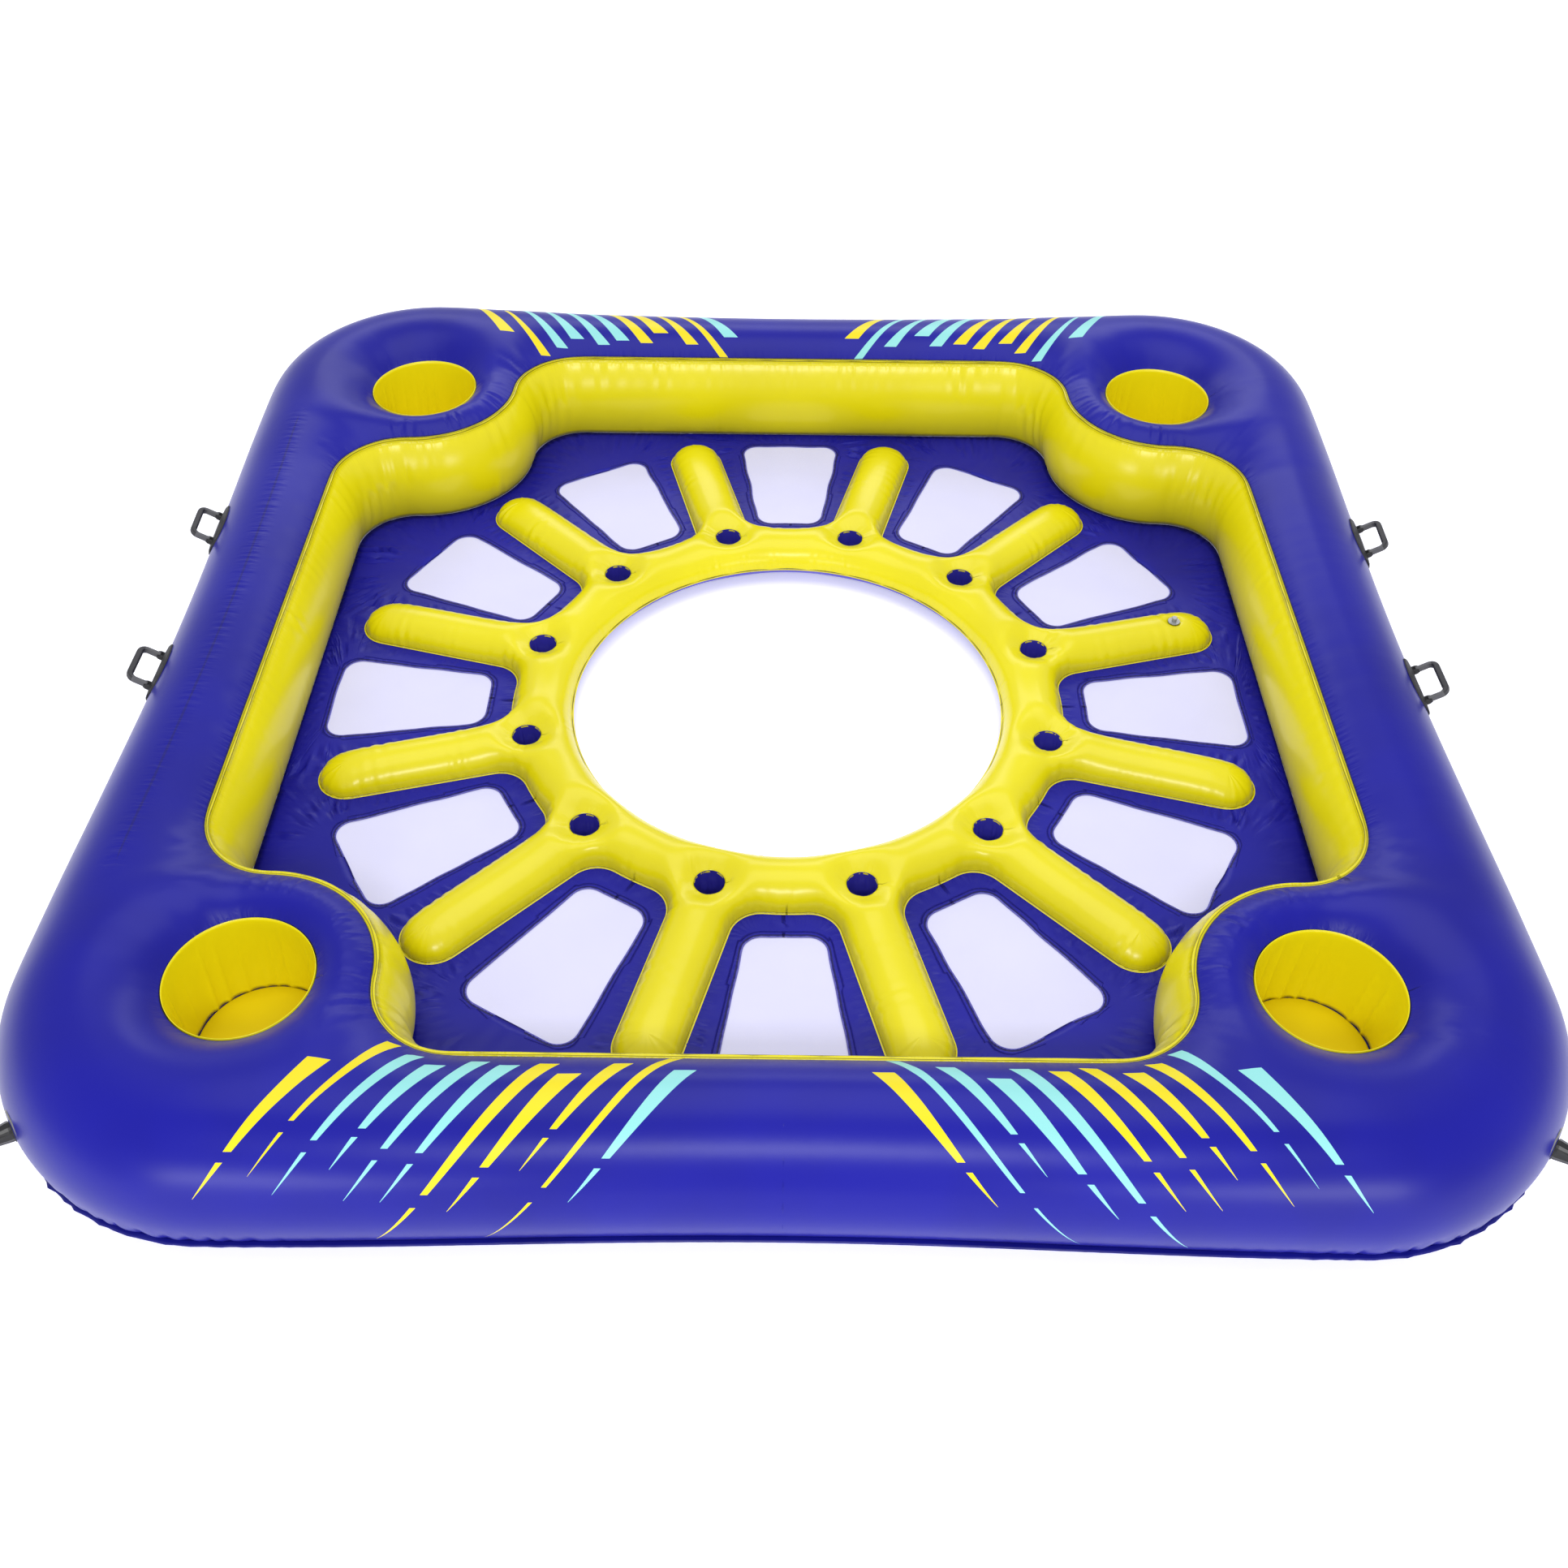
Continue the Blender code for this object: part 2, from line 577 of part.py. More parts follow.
def ring_lower(first, name):
    """Half of the tube's lower skin, from the middle of one side past two corners to the opposite one."""
    last = (first + 2) % 4
    kept = 1 + len(side_stations(first)) // 2
    starts = [panel_end(first, 1.0)] + side_lines(first)[-kept:]
    ends = side_lines(last)[:kept] + [panel_end(last, -1.0)]
    sides = [starts, side_lines(first + 1), ends]
    bm = bmesh.new()
    lines = []
    for number, side in enumerate(sides):
        lines += [(a, b) for a, b, _, _, _ in side]
        if number < 2:
            lines += [(a, b) for a, b, _ in corner_crown(first + number)[1:-1]]
    root = OUTER_SEAM - 0.5 * WELD_GAP - SHEET
    rows = [[tube_point(a, b, 0.0, SEAM_ANGLE, root) for a, b in lines]]
    rows.insert(0, [point + out * FIN for point, (_, out) in zip(rows[0], lines)])
    rows.append([tube_point(a, b, 0.0, UNDER_ANGLE) for a, b in lines])
    rows.append([a + b * CONTACT_HALF for a, b in lines])
    loft(bm, rows, closed=False)
    for side in sides:
        strip = [[a + b * CONTACT_HALF for a, b, _, _, _ in side]]
        strip += [[under_row(line, step) for line in side] for step in range(3)]
        loft(bm, strip, closed=False)
    for number in range(2):
        quarter = first + number
        this_line, next_line = sides[number][-1], sides[number + 1][0]
        outer = [a + b * CONTACT_HALF for a, b, _ in corner_crown(quarter)]
        far_side = [under_row(next_line, step) for step in range(2)]
        near_side = [under_row(this_line, step) for step in (1, 0)]
        foot = []
        for point, out in reversed(corner_seam(quarter)):
            place = point - out * WALL_LEAN
            place.z = FLOOR_HEIGHT - WELD_GAP - SHEET
            foot.append(place)
        boundary = outer + far_side + foot + near_side
        dip = -SAG_SHARE * COOLER_BASE
        sag = [0.0] * len(outer) + [0.0, 0.5 * dip] + [dip] * len(foot) + [0.5 * dip, 0.0]
        well_patch(
            bm, boundary, sag, cooler_centre(quarter), COOLER_RADIUS + COOLER_LIP, 0.0, COOLER_BASE, 2,
        )
    add_sheet(name, bm, "blue_vinyl", downwards)


def well_wall():
    bm = bmesh.new()
    seam = seam_line()
    head = INNER_SEAM - SHEET - WELD_GAP
    foot = FLOOR_TOP + WELD_GAP
    rows = [[point + out * SEAM_LAP + Vector((0.0, 0.0, head)) for point, out in seam]]
    for share in (0.0,) + WALL_SHARES + (1.0,):
        inwards = WALL_BULGE * math.sin(math.pi * share) + WALL_LEAN * share
        height = Vector((0.0, 0.0, head + (foot - head) * share))
        rows.append([point - out * inwards + height for point, out in seam])
    loft(bm, rows, closed=True)
    add_sheet("well_wall_sheet", bm, "yellow_vinyl", towards_middle)


def spoke_outline(fillet_steps, tip_steps, with_root):
    """Half of a spoke's weld line in plan: hub arc, fillet, side and tip, from 15 degrees to its axis."""
    half = math.pi / SPOKES
    reach = HUB_RADIUS + SPOKE_FILLET
    offset = SPOKE_HALF + SPOKE_FILLET
    centre = Vector((math.sqrt(reach ** 2 - offset ** 2), offset, 0.0))
    start = math.atan2(centre.y, centre.x)
    points = [Vector((HUB_RADIUS * math.cos(half), HUB_RADIUS * math.sin(half), 0.0))]
    sweep = math.radians(270.0) - (start + math.pi)
    for i in range(fillet_steps + 1):
        angle = start + math.pi + sweep * i / fillet_steps
        points.append(centre + Vector((math.cos(angle), math.sin(angle), 0.0)) * SPOKE_FILLET)
    tip = Vector((SPOKE_REACH - SPOKE_HALF, 0.0, 0.0))
    if with_root:
        points.append(Vector((CAN_CIRCLE + 2.0 * SPOKE_HALF + CAN_LIP, SPOKE_HALF, 0.0)))
    for i in range(tip_steps + 1):
        angle = 0.5 * math.pi * (1.0 - i / tip_steps)
        points.append(tip + Vector((math.cos(angle), math.sin(angle), 0.0)) * SPOKE_HALF)
    return points


def hub_targets(steps, crown, rim, flat):
    """Where the skin from each outline point ends: the hub's crown, the can's lip, the spoke's crown."""
    half = math.pi / SPOKES
    middle = 0.5 * (OPENING_RADIUS + HUB_RADIUS)
    can = Vector((CAN_CIRCLE, 0.0, rim))
    lip = [
        can + Vector((math.cos(angle), math.sin(angle), 0.0)) * flat
        for angle in (0.5 * math.pi * (1.0 - i / steps) for i in range(steps + 1))
    ]
    near_lip = [Vector((2.0 * can.x - point.x, point.y, point.z)) for point in lip]
    top = Vector((middle * math.cos(half), middle * math.sin(half), crown))
    root = Vector((CAN_CIRCLE + SPOKE_HALF + CAN_LIP, 0.0, crown))
    tip = Vector((SPOKE_REACH - SPOKE_HALF, 0.0, crown))
    return top, lip, near_lip, root, tip


def eased(edge, target, steps):
    """Rows of an elliptic skin from an edge to its crown."""
    rows = []
    for i in range(steps + 1):
        angle = 0.5 * math.pi * i / steps
        row = []
        for low, high in zip(edge, target):
            point = low.lerp(high, 1.0 - math.cos(angle))
            point.z = low.z + (high.z - low.z) * math.sin(angle)
            row.append(point)
        rows.append(row)
    return rows


def both_halves(points):
    """A half row from the sector's edge to the spoke's axis, with its mirror half."""
    return points + [Vector((p.x, -p.y, p.z)) for p in reversed(points[:-1])]


def hub_sector(bm, number, steps, crown, rim, edge_height, inner_height, flat, mouth):
    """One twelfth of a hub sheet with its spoke. The sheet with the can holders' mouths is the finer."""
    with_mouth = mouth > 0.0
    tip_steps = TIP_STEPS if with_mouth else 1
    outline = spoke_outline(steps, tip_steps, with_mouth)
    top, lip, near_lip, root, tip = hub_targets(steps, crown, rim, flat)
    outer = [Vector((p.x, p.y, edge_height)) for p in outline]
    targets = [top] + lip + [root] * with_mouth + [tip] * (tip_steps + 1)
    half = math.pi / SPOKES
    angles = [half] + [half * 0.5 * (1.0 - i / steps) for i in range(steps + 1)]
    inner = [
        Vector((OPENING_RADIUS * math.cos(a), OPENING_RADIUS * math.sin(a), inner_height)) for a in angles
    ]
    patch = bmesh.new()
    loft(patch, eased(both_halves(outer), both_halves(targets), 2), closed=False)
    near = [top] + near_lip
    loft(patch, eased(both_halves(inner), both_halves(near), 1 + with_mouth), closed=False)
    ring = both_halves(lip)[:-1] + both_halves(near_lip)[::-1][:-1]
    if with_mouth:
        can = Vector((CAN_CIRCLE, 0.0, rim))
        loft(patch, [ring, [can + (p - can) * (mouth / flat) for p in ring]], closed=True)
    else:
        patch.faces.new([patch.verts.new(p) for p in ring])
    bmesh.ops.transform(
        patch, matrix=Matrix.Rotation(2.0 * half * (number + 0.5), 4, "Z"), verts=patch.verts,
    )
    mesh = bpy.data.meshes.new("sector")
    patch.to_mesh(mesh)
    patch.free()
    bm.from_mesh(mesh)
    bpy.data.meshes.remove(mesh)


def hub_upper():
    bm = bmesh.new()
    edge = FLOOR_TOP + WELD_GAP + SHEET
    inner = FLOOR_HEIGHT + 0.5 * (SHEET + WELD_GAP) + SHEET
    for number in range(SPOKES):
        hub_sector(
            bm, number, FILLET_STEPS, HUB_CROWN, CAN_RIM, edge, inner, CAN_RADIUS + CAN_LIP, CAN_RADIUS,
        )
    sheet = add_sheet("hub_upper_sheet", bm, "yellow_vinyl", upwards)
    hole = STEM_RADIUS + SLIDE_PLAY + BASE_SLEEVE + HOLE_PLAY
    span = HUB_CROWN - FLOOR_TOP
    drill = add_turned(
        "hub_valve_drill", [(0.0, -0.5 * span), (hole, -0.5 * span), (hole, span), (0.0, span)],
        SMALL_SIDES, "yellow_vinyl", hub_valve_frame(),
    )
    cut(sheet, drill)


def hub_lower():
    bm = bmesh.new()
    edge = FLOOR_HEIGHT - WELD_GAP - SHEET
    inner = FLOOR_HEIGHT + 0.5 * (SHEET - WELD_GAP) - SHEET
    for number in range(SPOKES):
        hub_sector(
            bm, number, 2, HUB_DRAFT, HUB_DRAFT, edge, inner, CAN_RADIUS + 2.0 * CAN_LIP, 0.0,
        )
    add_sheet("hub_lower_sheet", bm, "blue_vinyl", downwards)


def window_corners(margin):
    """The corners of a window about the x axis, before rounding, with a margin round them."""
    return [
        Vector((WINDOW_OUTER + margin, WINDOW_FAR_HALF + margin)),
        Vector((WINDOW_INNER - margin, WINDOW_NEAR_HALF + margin)),
        Vector((WINDOW_INNER - margin, -WINDOW_NEAR_HALF - margin)),
        Vector((WINDOW_OUTER + margin, -WINDOW_FAR_HALF - margin)),
    ]


def window_outline():
    """A window with its rounded corners."""
    corners = window_corners(0.0)
    points = []
    for i, corner in enumerate(corners):
        before = (corners[i - 1] - corner).normalized()
        after = (corners[(i + 1) % len(corners)] - corner).normalized()
        half = 0.5 * math.acos(before.dot(after))
        centre = corner + (before + after).normalized() * (WINDOW_CORNER / math.sin(half))
        normal_a = Vector((before.y, -before.x))
        normal_b = Vector((-after.y, after.x))
        if normal_a.dot(centre - corner) > 0.0:
            normal_a = -normal_a
        if normal_b.dot(centre - corner) > 0.0:
            normal_b = -normal_b
        for share in (0.0, 0.5, 1.0):
            points.append(centre + normal_a.lerp(normal_b, share).normalized() * WINDOW_CORNER)
    return points


def turn_flat(points, angle):
    c, s = math.cos(angle), math.sin(angle)
    return [Vector((p.x * c - p.y * s, p.x * s + p.y * c, 0.0)) for p in points]


def floor_sheet():
    """The flat floor with its windows, and the mesh panels welded under them."""
    edge = [point - out * (WALL_LEAN - WELD_GAP) for point, out in seam_line()]
    hub = []
    outline = both_halves(spoke_outline(2, 1, with_root=False))
    for number in range(SPOKES):
        turn = 2.0 * math.pi * (number + 0.5) / SPOKES
        hub += turn_flat(reversed(outline), turn)[:-1]
    loops = [edge, hub]
    for number in range(SPOKES):
        loops.append(turn_flat(window_outline(), 2.0 * math.pi * number / SPOKES))
    flat = [point for loop in loops for point in loop]
    bm = bmesh.new()
    verts = [bm.verts.new((p.x, p.y, FLOOR_TOP)) for p in flat]
    for triangle in tessellate_polygon(loops):
        bm.faces.new([verts[i] for i in triangle])
    add_sheet("floor_sheet", bm, "blue_vinyl", upwards)
    for number in range(SPOKES):
        bm = bmesh.new()
        outline = turn_flat(window_corners(PANEL_MARGIN), 2.0 * math.pi * number / SPOKES)
        height = FLOOR_HEIGHT - WELD_GAP
        bm.faces.new([bm.verts.new((p.x, p.y, height)) for p in outline])
        add_sheet("mesh_panel_%02d" % (number + 1), bm, "mesh_cloth", upwards, PANEL_SHEET)


def can_sleeves():
    head = CAN_RIM - SHEET - WELD_GAP
    foot = HUB_DRAFT + SHEET + WELD_GAP
    for number in range(SPOKES):
        angle = 2.0 * math.pi * (number + 0.5) / SPOKES
        frame = Matrix.Rotation(angle, 4, "Z") @ Matrix.Translation((CAN_CIRCLE, 0.0, 0.0))
        lower = CAN_RADIUS - CAN_TAPER
        profile = [
            (0.0, foot), (lower + SHEET, foot), (CAN_RADIUS + SHEET, head), (CAN_RADIUS, head),
            (lower, foot + SHEET), (0.0, foot + SHEET),
        ]
        add_turned("can_sleeve_%02d" % (number + 1), profile, CAN_SIDES, "blue_vinyl", frame)


def coolers():
    head = COOLER_RIM - SHEET - WELD_GAP
    foot = COOLER_BASE + SHEET + WELD_GAP
    wall = COOLER_SLEEVE
    for quarter, name in enumerate(CORNER_NAMES):
        frame = Matrix.Translation(cooler_centre(quarter))
        lip = COOLER_RADIUS + COOLER_LIP - WELD_GAP
        profile = [
            (lip, head), (COOLER_RADIUS, head), (COOLER_FOOT_RADIUS, foot),
            (COOLER_FOOT_RADIUS + wall, foot), (COOLER_RADIUS + wall, head - wall), (lip, head - wall),
            (lip, head),
        ]
        add_turned("cooler_sleeve_" + name, profile, COOLER_SIDES, "yellow_vinyl", frame)
        profile = [
            (0.0, foot), (COOLER_FLOOR_RADIUS, foot), (COOLER_FLOOR_RADIUS, foot + COOLER_FLOOR),
            (0.0, foot + COOLER_FLOOR),
        ]
        add_turned("cooler_floor_" + name, profile, COOLER_SIDES, "yellow_vinyl", frame)


def handle_frame(side, along):
    """Axes on the tube's skin under a handle: x along the raft's side, z straight out."""
    angle = math.radians(HANDLE_ANGLE)
    flat_out = Vector((side, 0.0, 0.0))
    ends = []
    for share in (-0.5, 0.5):
        y = along + share * PATCH_LENGTH
        crown = Vector((side * (TUBE_LINE - waist(y)), y, 0.0))
        ends.append(tube_point(crown, flat_out, 0.0, HANDLE_ANGLE))
    along_axis = (ends[1] - ends[0]).normalized()
    out = Vector((side * math.cos(angle), 0.0, math.sin(angle)))
    out = (out - along_axis * out.dot(along_axis)).normalized()
    across = out.cross(along_axis)
    place = 0.5 * (ends[0] + ends[1])
    return Matrix((
        (along_axis.x, across.x, out.x, place.x),
        (along_axis.y, across.y, out.y, place.y),
        (along_axis.z, across.z, out.z, place.z),
        (0.0, 0.0, 0.0, 1.0),
    ))


def handle_patch(name, side, along):
    axes = handle_frame(side, along)
    rows = []
    for share, width, rise in zip(PATCH_SHARES, PATCH_WIDTH_SHARES, PATCH_RISE_SHARES):
        x = share * 0.5 * (PATCH_LENGTH - WELD_GAP)
        half = PATCH_TIP + (PATCH_HALF - PATCH_TIP) * width
        fall = half * FACET_FALL
        shoulder = PATCH_SHOULDER_SHARE * half
        top = PATCH_BASE + PATCH_RIM * rise - 0.5 * PATCH_SHOULDER_SHARE * fall
        rows.append([
            Vector((x, -half, WELD_GAP - fall)), Vector((x, 0.0, WELD_GAP)),
            Vector((x, half, WELD_GAP - fall)), Vector((x, half, PATCH_BASE - fall)),
            Vector((x, shoulder, top)), Vector((x, -shoulder, top)),
            Vector((x, -half, PATCH_BASE - fall)),
        ])
    bm = bmesh.new()
    made = loft(bm, rows, closed=True)
    bm.faces.new(made[0])
    bm.faces.new(made[-1])
    bmesh.ops.recalc_face_normals(bm, faces=bm.faces)
    patch = add_object(name, bm, "black_rubber")
    patch.matrix_world = axes
    for end in (-1.0, 1.0):
        middle = end * 0.5 * GRIP_SPAN
        inner = GRIP_DEEP + WELD_GAP
        for ear in (-1.0, 1.0):
            start = middle + ear * inner
            stop = start + ear * EAR_THICK
            add_block(patch, name + "_ear_%d%d" % (end, ear), axes, min(start, stop), max(start, stop))
        span = inner + 0.5 * EAR_THICK
        bm = bmesh.new()
        turned(bm, [(0.0, -span), (PIN_RADIUS, -span), (PIN_RADIUS, span), (0.0, span)], PIN_SIDES)
        pin = add_object(name + "_pin_%d" % end, bm, "black_rubber")
        pin.matrix_world = (
            axes @ Matrix.Translation((middle, 0.0, PIN_HEIGHT)) @ Matrix.Rotation(0.5 * math.pi, 4, "Y")
        )
        join_solid(patch, pin)
    return patch


def add_block(patch, name, axes, start, stop):
    """An ear of a handle's patch, from the rubber to just over the pin."""
    bm = bmesh.new()
    low = 0.5 * PATCH_BASE
    high = PIN_HEIGHT + EYE_RADIUS
    top_half = EAR_TOP_SHARE * EAR_HALF
    outline = [
        Vector((start, -EAR_HALF, low)), Vector((start, EAR_HALF, low)),
        Vector((start, EAR_HALF, PIN_HEIGHT)), Vector((start, top_half, high)),
        Vector((start, -top_half, high)), Vector((start, -EAR_HALF, PIN_HEIGHT)),
    ]
    made = loft(bm, [outline, [p + Vector((stop - start, 0.0, 0.0)) for p in outline]], closed=True)
    bm.faces.new(made[0])
    bm.faces.new(made[-1])
    bmesh.ops.recalc_face_normals(bm, faces=bm.faces)
    ear = add_object(name, bm, "black_rubber")
    ear.matrix_world = axes
    join_solid(patch, ear)


def grip_path():
    """The grip's middle line: place, inward direction, share of the width, share of a finger ridge."""
    half = 0.5 * GRIP_SPAN
    inward = Vector((1.0, 0.0, 0.0))
    path = [
        (Vector((-half, 0.0, 0.0)), inward, GRIP_FOOT_SHARE, 0.0),
        (Vector((-half, 0.0, 2.0 * EYE_RADIUS)), inward, 1.0, 0.0),
    ]
    centre = Vector((-half + GRIP_BEND, 0.0, GRIP_REACH - GRIP_BEND))
    for i in range(BEND_STEPS + 1):
        angle = math.pi - 0.5 * math.pi * i / BEND_STEPS
        ray = Vector((math.cos(angle), 0.0, math.sin(angle)))
        path.append((centre + ray * GRIP_BEND, -ray, 1.0, 0.0))
    run = 2.0 * (half - GRIP_BEND)
    for i in range(1, 2 * FINGER_RIDGES):
        x = -half + GRIP_BEND + run * i / (2.0 * FINGER_RIDGES)
        path.append((Vector((x, 0.0, GRIP_REACH)), Vector((0.0, 0.0, -1.0)), 1.0, float(i % 2)))
    other = []
    for place, way, width, ridge in reversed(path[:BEND_STEPS + 3]):
        other.append((Vector((-place.x, 0.0, place.z)), Vector((-way.x, 0.0, way.z)), width, ridge))
    return path + other


def handle_grip(name, side, along):
    axes = handle_frame(side, along)
    rows = []
    for place, inward, width, ridge in grip_path():
        edge = Vector((0.0, GRIP_WIDE * width, 0.0))
        face = GRIP_FACE_SHARE * edge
        back = inward * GRIP_DEEP
        front = inward * (GRIP_DEEP + FINGER_RIDGE * ridge)
        rows.append([
            place + face - back, place + edge, place + face + front,
            place - face + front, place - edge, place - face - back,
        ])
    bm = bmesh.new()
    made = loft(bm, rows, closed=True)
    bm.faces.new(made[0])
    bm.faces.new(made[-1])
    bmesh.ops.recalc_face_normals(bm, faces=bm.faces)
    grip = add_object(name, bm, "grey_rubber")
    frame = axes @ Matrix.Translation((0.0, 0.0, PIN_HEIGHT))
    grip.matrix_world = frame
    quarter_turn = Matrix.Rotation(0.5 * math.pi, 4, "Y")
    outer = EYE_RADIUS
    for end in (-1.0, 1.0):
        place = frame @ Matrix.Translation((end * 0.5 * GRIP_SPAN, 0.0, 0.0)) @ quarter_turn
        span = GRIP_DEEP
        eye = add_turned(
            name + "_eye_%d" % end, [(0.0, -span), (outer, -span), (outer, span), (0.0, span)],
            PIN_SIDES, "grey_rubber", place,
        )
        join_solid(grip, eye)
    for end in (-1.0, 1.0):
        place = frame @ Matrix.Translation((end * 0.5 * GRIP_SPAN, 0.0, 0.0)) @ quarter_turn
        span = 2.0 * GRIP_DEEP
        bore = PIN_RADIUS + PIN_PLAY
        drill = add_turned(
            name + "_bore_%d" % end, [(0.0, -span), (bore, -span), (bore, span), (0.0, span)],
            PIN_SIDES, "grey_rubber", place,
        )
        cut(grip, drill)
    return grip


def handles():
    for side, side_name in ((-1.0, "left"), (1.0, "right")):
        for along, end_name in ((HANDLE_BACK, "back"), (HANDLE_FRONT, "front")):
            handle_patch("handle_patch_%s_%s" % (side_name, end_name), side, along)
            handle_grip("handle_grip_%s_%s" % (side_name, end_name), side, along)


def main_valves():
    seat = WELD_GAP
    bore = NECK_RADIUS - NECK_WALL
    ring_low = seat + FLANGE_THICK + WELD_GAP
    cap_low = ring_low + TETHER_THICK + WELD_GAP
    for name, frame in zip(("right", "left"), valve_frames()):
        profile = [
            (bore, -NECK_DEPTH), (NECK_RADIUS, -NECK_DEPTH), (NECK_RADIUS, seat), (FLANGE_RADIUS, seat),
            (FLANGE_RADIUS - FLANGE_THICK, seat + FLANGE_THICK), (NECK_RADIUS, seat + FLANGE_THICK),
            (NECK_RADIUS, NECK_HEIGHT), (bore, NECK_HEIGHT), (bore, -NECK_DEPTH),
        ]
        add_turned("valve_body_" + name, profile, VALVE_SIDES, "grey_plastic", frame)
        plug = bore - HOLE_PLAY
        low = -NECK_DEPTH
        profile = [
            (0.0, low), (plug, low), (plug, low + INSERT_THICK), (INSERT_STEM, low + INSERT_THICK),
            (INSERT_STEM, 0.5 * NECK_HEIGHT), (0.0, 0.5 * NECK_HEIGHT),
        ]
        add_turned("valve_insert_" + name, profile, SMALL_SIDES, "clear_plastic", frame)
        tether_ring("cap_tether_" + name, frame, ring_low)
        valve_cap("valve_cap_" + name, frame, cap_low)


def tether_ring(name, frame, low):
    hole = NECK_RADIUS + HOLE_PLAY
    high = low + TETHER_THICK
    ring = add_turned(
        name, [(hole, low), (TETHER_RING, low), (TETHER_RING, high), (hole, high), (hole, low)],
        VALVE_SIDES, "black_rubber", frame,
    )
    bm = bmesh.new()
    bmesh.ops.create_cube(bm, size=1.0)
    inner = 0.5 * (hole + TETHER_RING)
    bmesh.ops.scale(bm, verts=bm.verts, vec=(TETHER_TONGUE, TETHER_REACH - inner, TETHER_THICK))
    bmesh.ops.translate(bm, verts=bm.verts, vec=(0.0, -0.5 * (TETHER_REACH + inner), 0.5 * (low + high)))
    tongue = add_object(name + "_tongue", bm, "black_rubber")
    tongue.matrix_world = frame
    join_solid(ring, tongue)


def valve_cap(name, frame, low):
    """The screw cap: a tapered cup with upright grip ribs, open towards the raft."""
    bm = bmesh.new()
    high = low + CAP_HEIGHT
    rows = []
    outside = (
        (CAP_RADIUS, low), (CAP_RADIUS, low + CAP_RIM_SHARE * CAP_HEIGHT),
        (CAP_TOP_RADIUS, high - CAP_EDGE_SHARE * CAP_HEIGHT), (CAP_TOP_RADIUS - CAP_RIB, high),
    )
    for radius, height in outside:
        row = []
        for i in range(2 * CAP_RIBS):
            angle = math.pi * i / CAP_RIBS
            reach = radius - (CAP_RIB if i % 2 else 0.0)
            row.append(Vector((reach * math.cos(angle), reach * math.sin(angle), height)))
        rows.append(row)
    bore = NECK_RADIUS + HOLE_PLAY
    roof = max(NECK_HEIGHT + CAP_WALL, high - 2.0 * CAP_WALL)
    for radius, height in ((bore, low), (bore, NECK_HEIGHT + WELD_GAP), (bore - NECK_WALL, roof)):
        row = []
        for i in range(2 * CAP_RIBS):
            angle = math.pi * i / CAP_RIBS
            row.append(Vector((radius * math.cos(angle), radius * math.sin(angle), height)))
        rows.insert(0, row)
    made = loft(bm, rows, closed=True)
    bm.faces.new(made[0])
    bm.faces.new(made[-1])
    bmesh.ops.recalc_face_normals(bm, faces=bm.faces)
    cap = add_object(name, bm, "black_plastic")
    cap.matrix_world = frame


def hub_valve_frame():
    angle = math.pi / SPOKES
    return Matrix.Rotation(angle, 4, "Z") @ Matrix.Translation((HUB_VALVE_REACH, 0.0, HUB_CROWN))


def hub_valve():
    frame = hub_valve_frame()
    bore = STEM_RADIUS + SLIDE_PLAY
    sleeve = bore + BASE_SLEEVE
    depth = 0.5 * STEM_LENGTH
    seat = WELD_GAP
    profile = [
        (bore, -depth), (sleeve, -depth), (sleeve, seat), (BASE_RADIUS, seat),
        (BASE_RADIUS - 0.5 * BASE_THICK, seat + BASE_THICK), (bore, seat + BASE_THICK), (bore, -depth),
    ]
    add_turned("hub_valve_base", profile, VALVE_SIDES, "clear_plastic", frame)
    inside = STEM_RADIUS - STEM_WALL
    top = seat + BASE_THICK + STEM_STAND
    profile = [
        (inside, top - STEM_LENGTH), (STEM_RADIUS, top - STEM_LENGTH), (STEM_RADIUS, top), (inside, top),
        (inside, top - STEM_LENGTH),
    ]
    add_turned("hub_valve_stem", profile, SMALL_SIDES, "clear_plastic", frame)
    low = top + WELD_GAP
    pin = inside - SLIDE_PLAY
    high = low + PLUG_CAP
    profile = [
        (0.0, low - PLUG_PIN), (PLUG_TAPER_SHARE * pin, low - PLUG_PIN), (pin, low), (PLUG_RADIUS, low),
        (PLUG_RADIUS, low + PLUG_EDGE_SHARE * PLUG_CAP), (PLUG_TAPER_SHARE * PLUG_RADIUS, high), (0.0, high),
    ]
    add_turned("hub_valve_plug", profile, SMALL_SIDES, "clear_plastic", frame)


def inset(points, distance):
    """A closed outline drawn in by a distance."""
    area = sum(a.x * b.y - b.x * a.y for a, b in zip(points, points[1:] + points[:1]))
    sense = 1.0 if area > 0.0 else -1.0
    made = []
    for i, point in enumerate(points):
        before = (point - points[i - 1]).normalized()
        after = (points[(i + 1) % len(points)] - point).normalized()
        normal_a = Vector((-before.y, before.x)) * sense
        normal_b = Vector((-after.y, after.x)) * sense
        made.append(point + (normal_a + normal_b) * (distance / (1.0 + normal_a.dot(normal_b))))
    return made


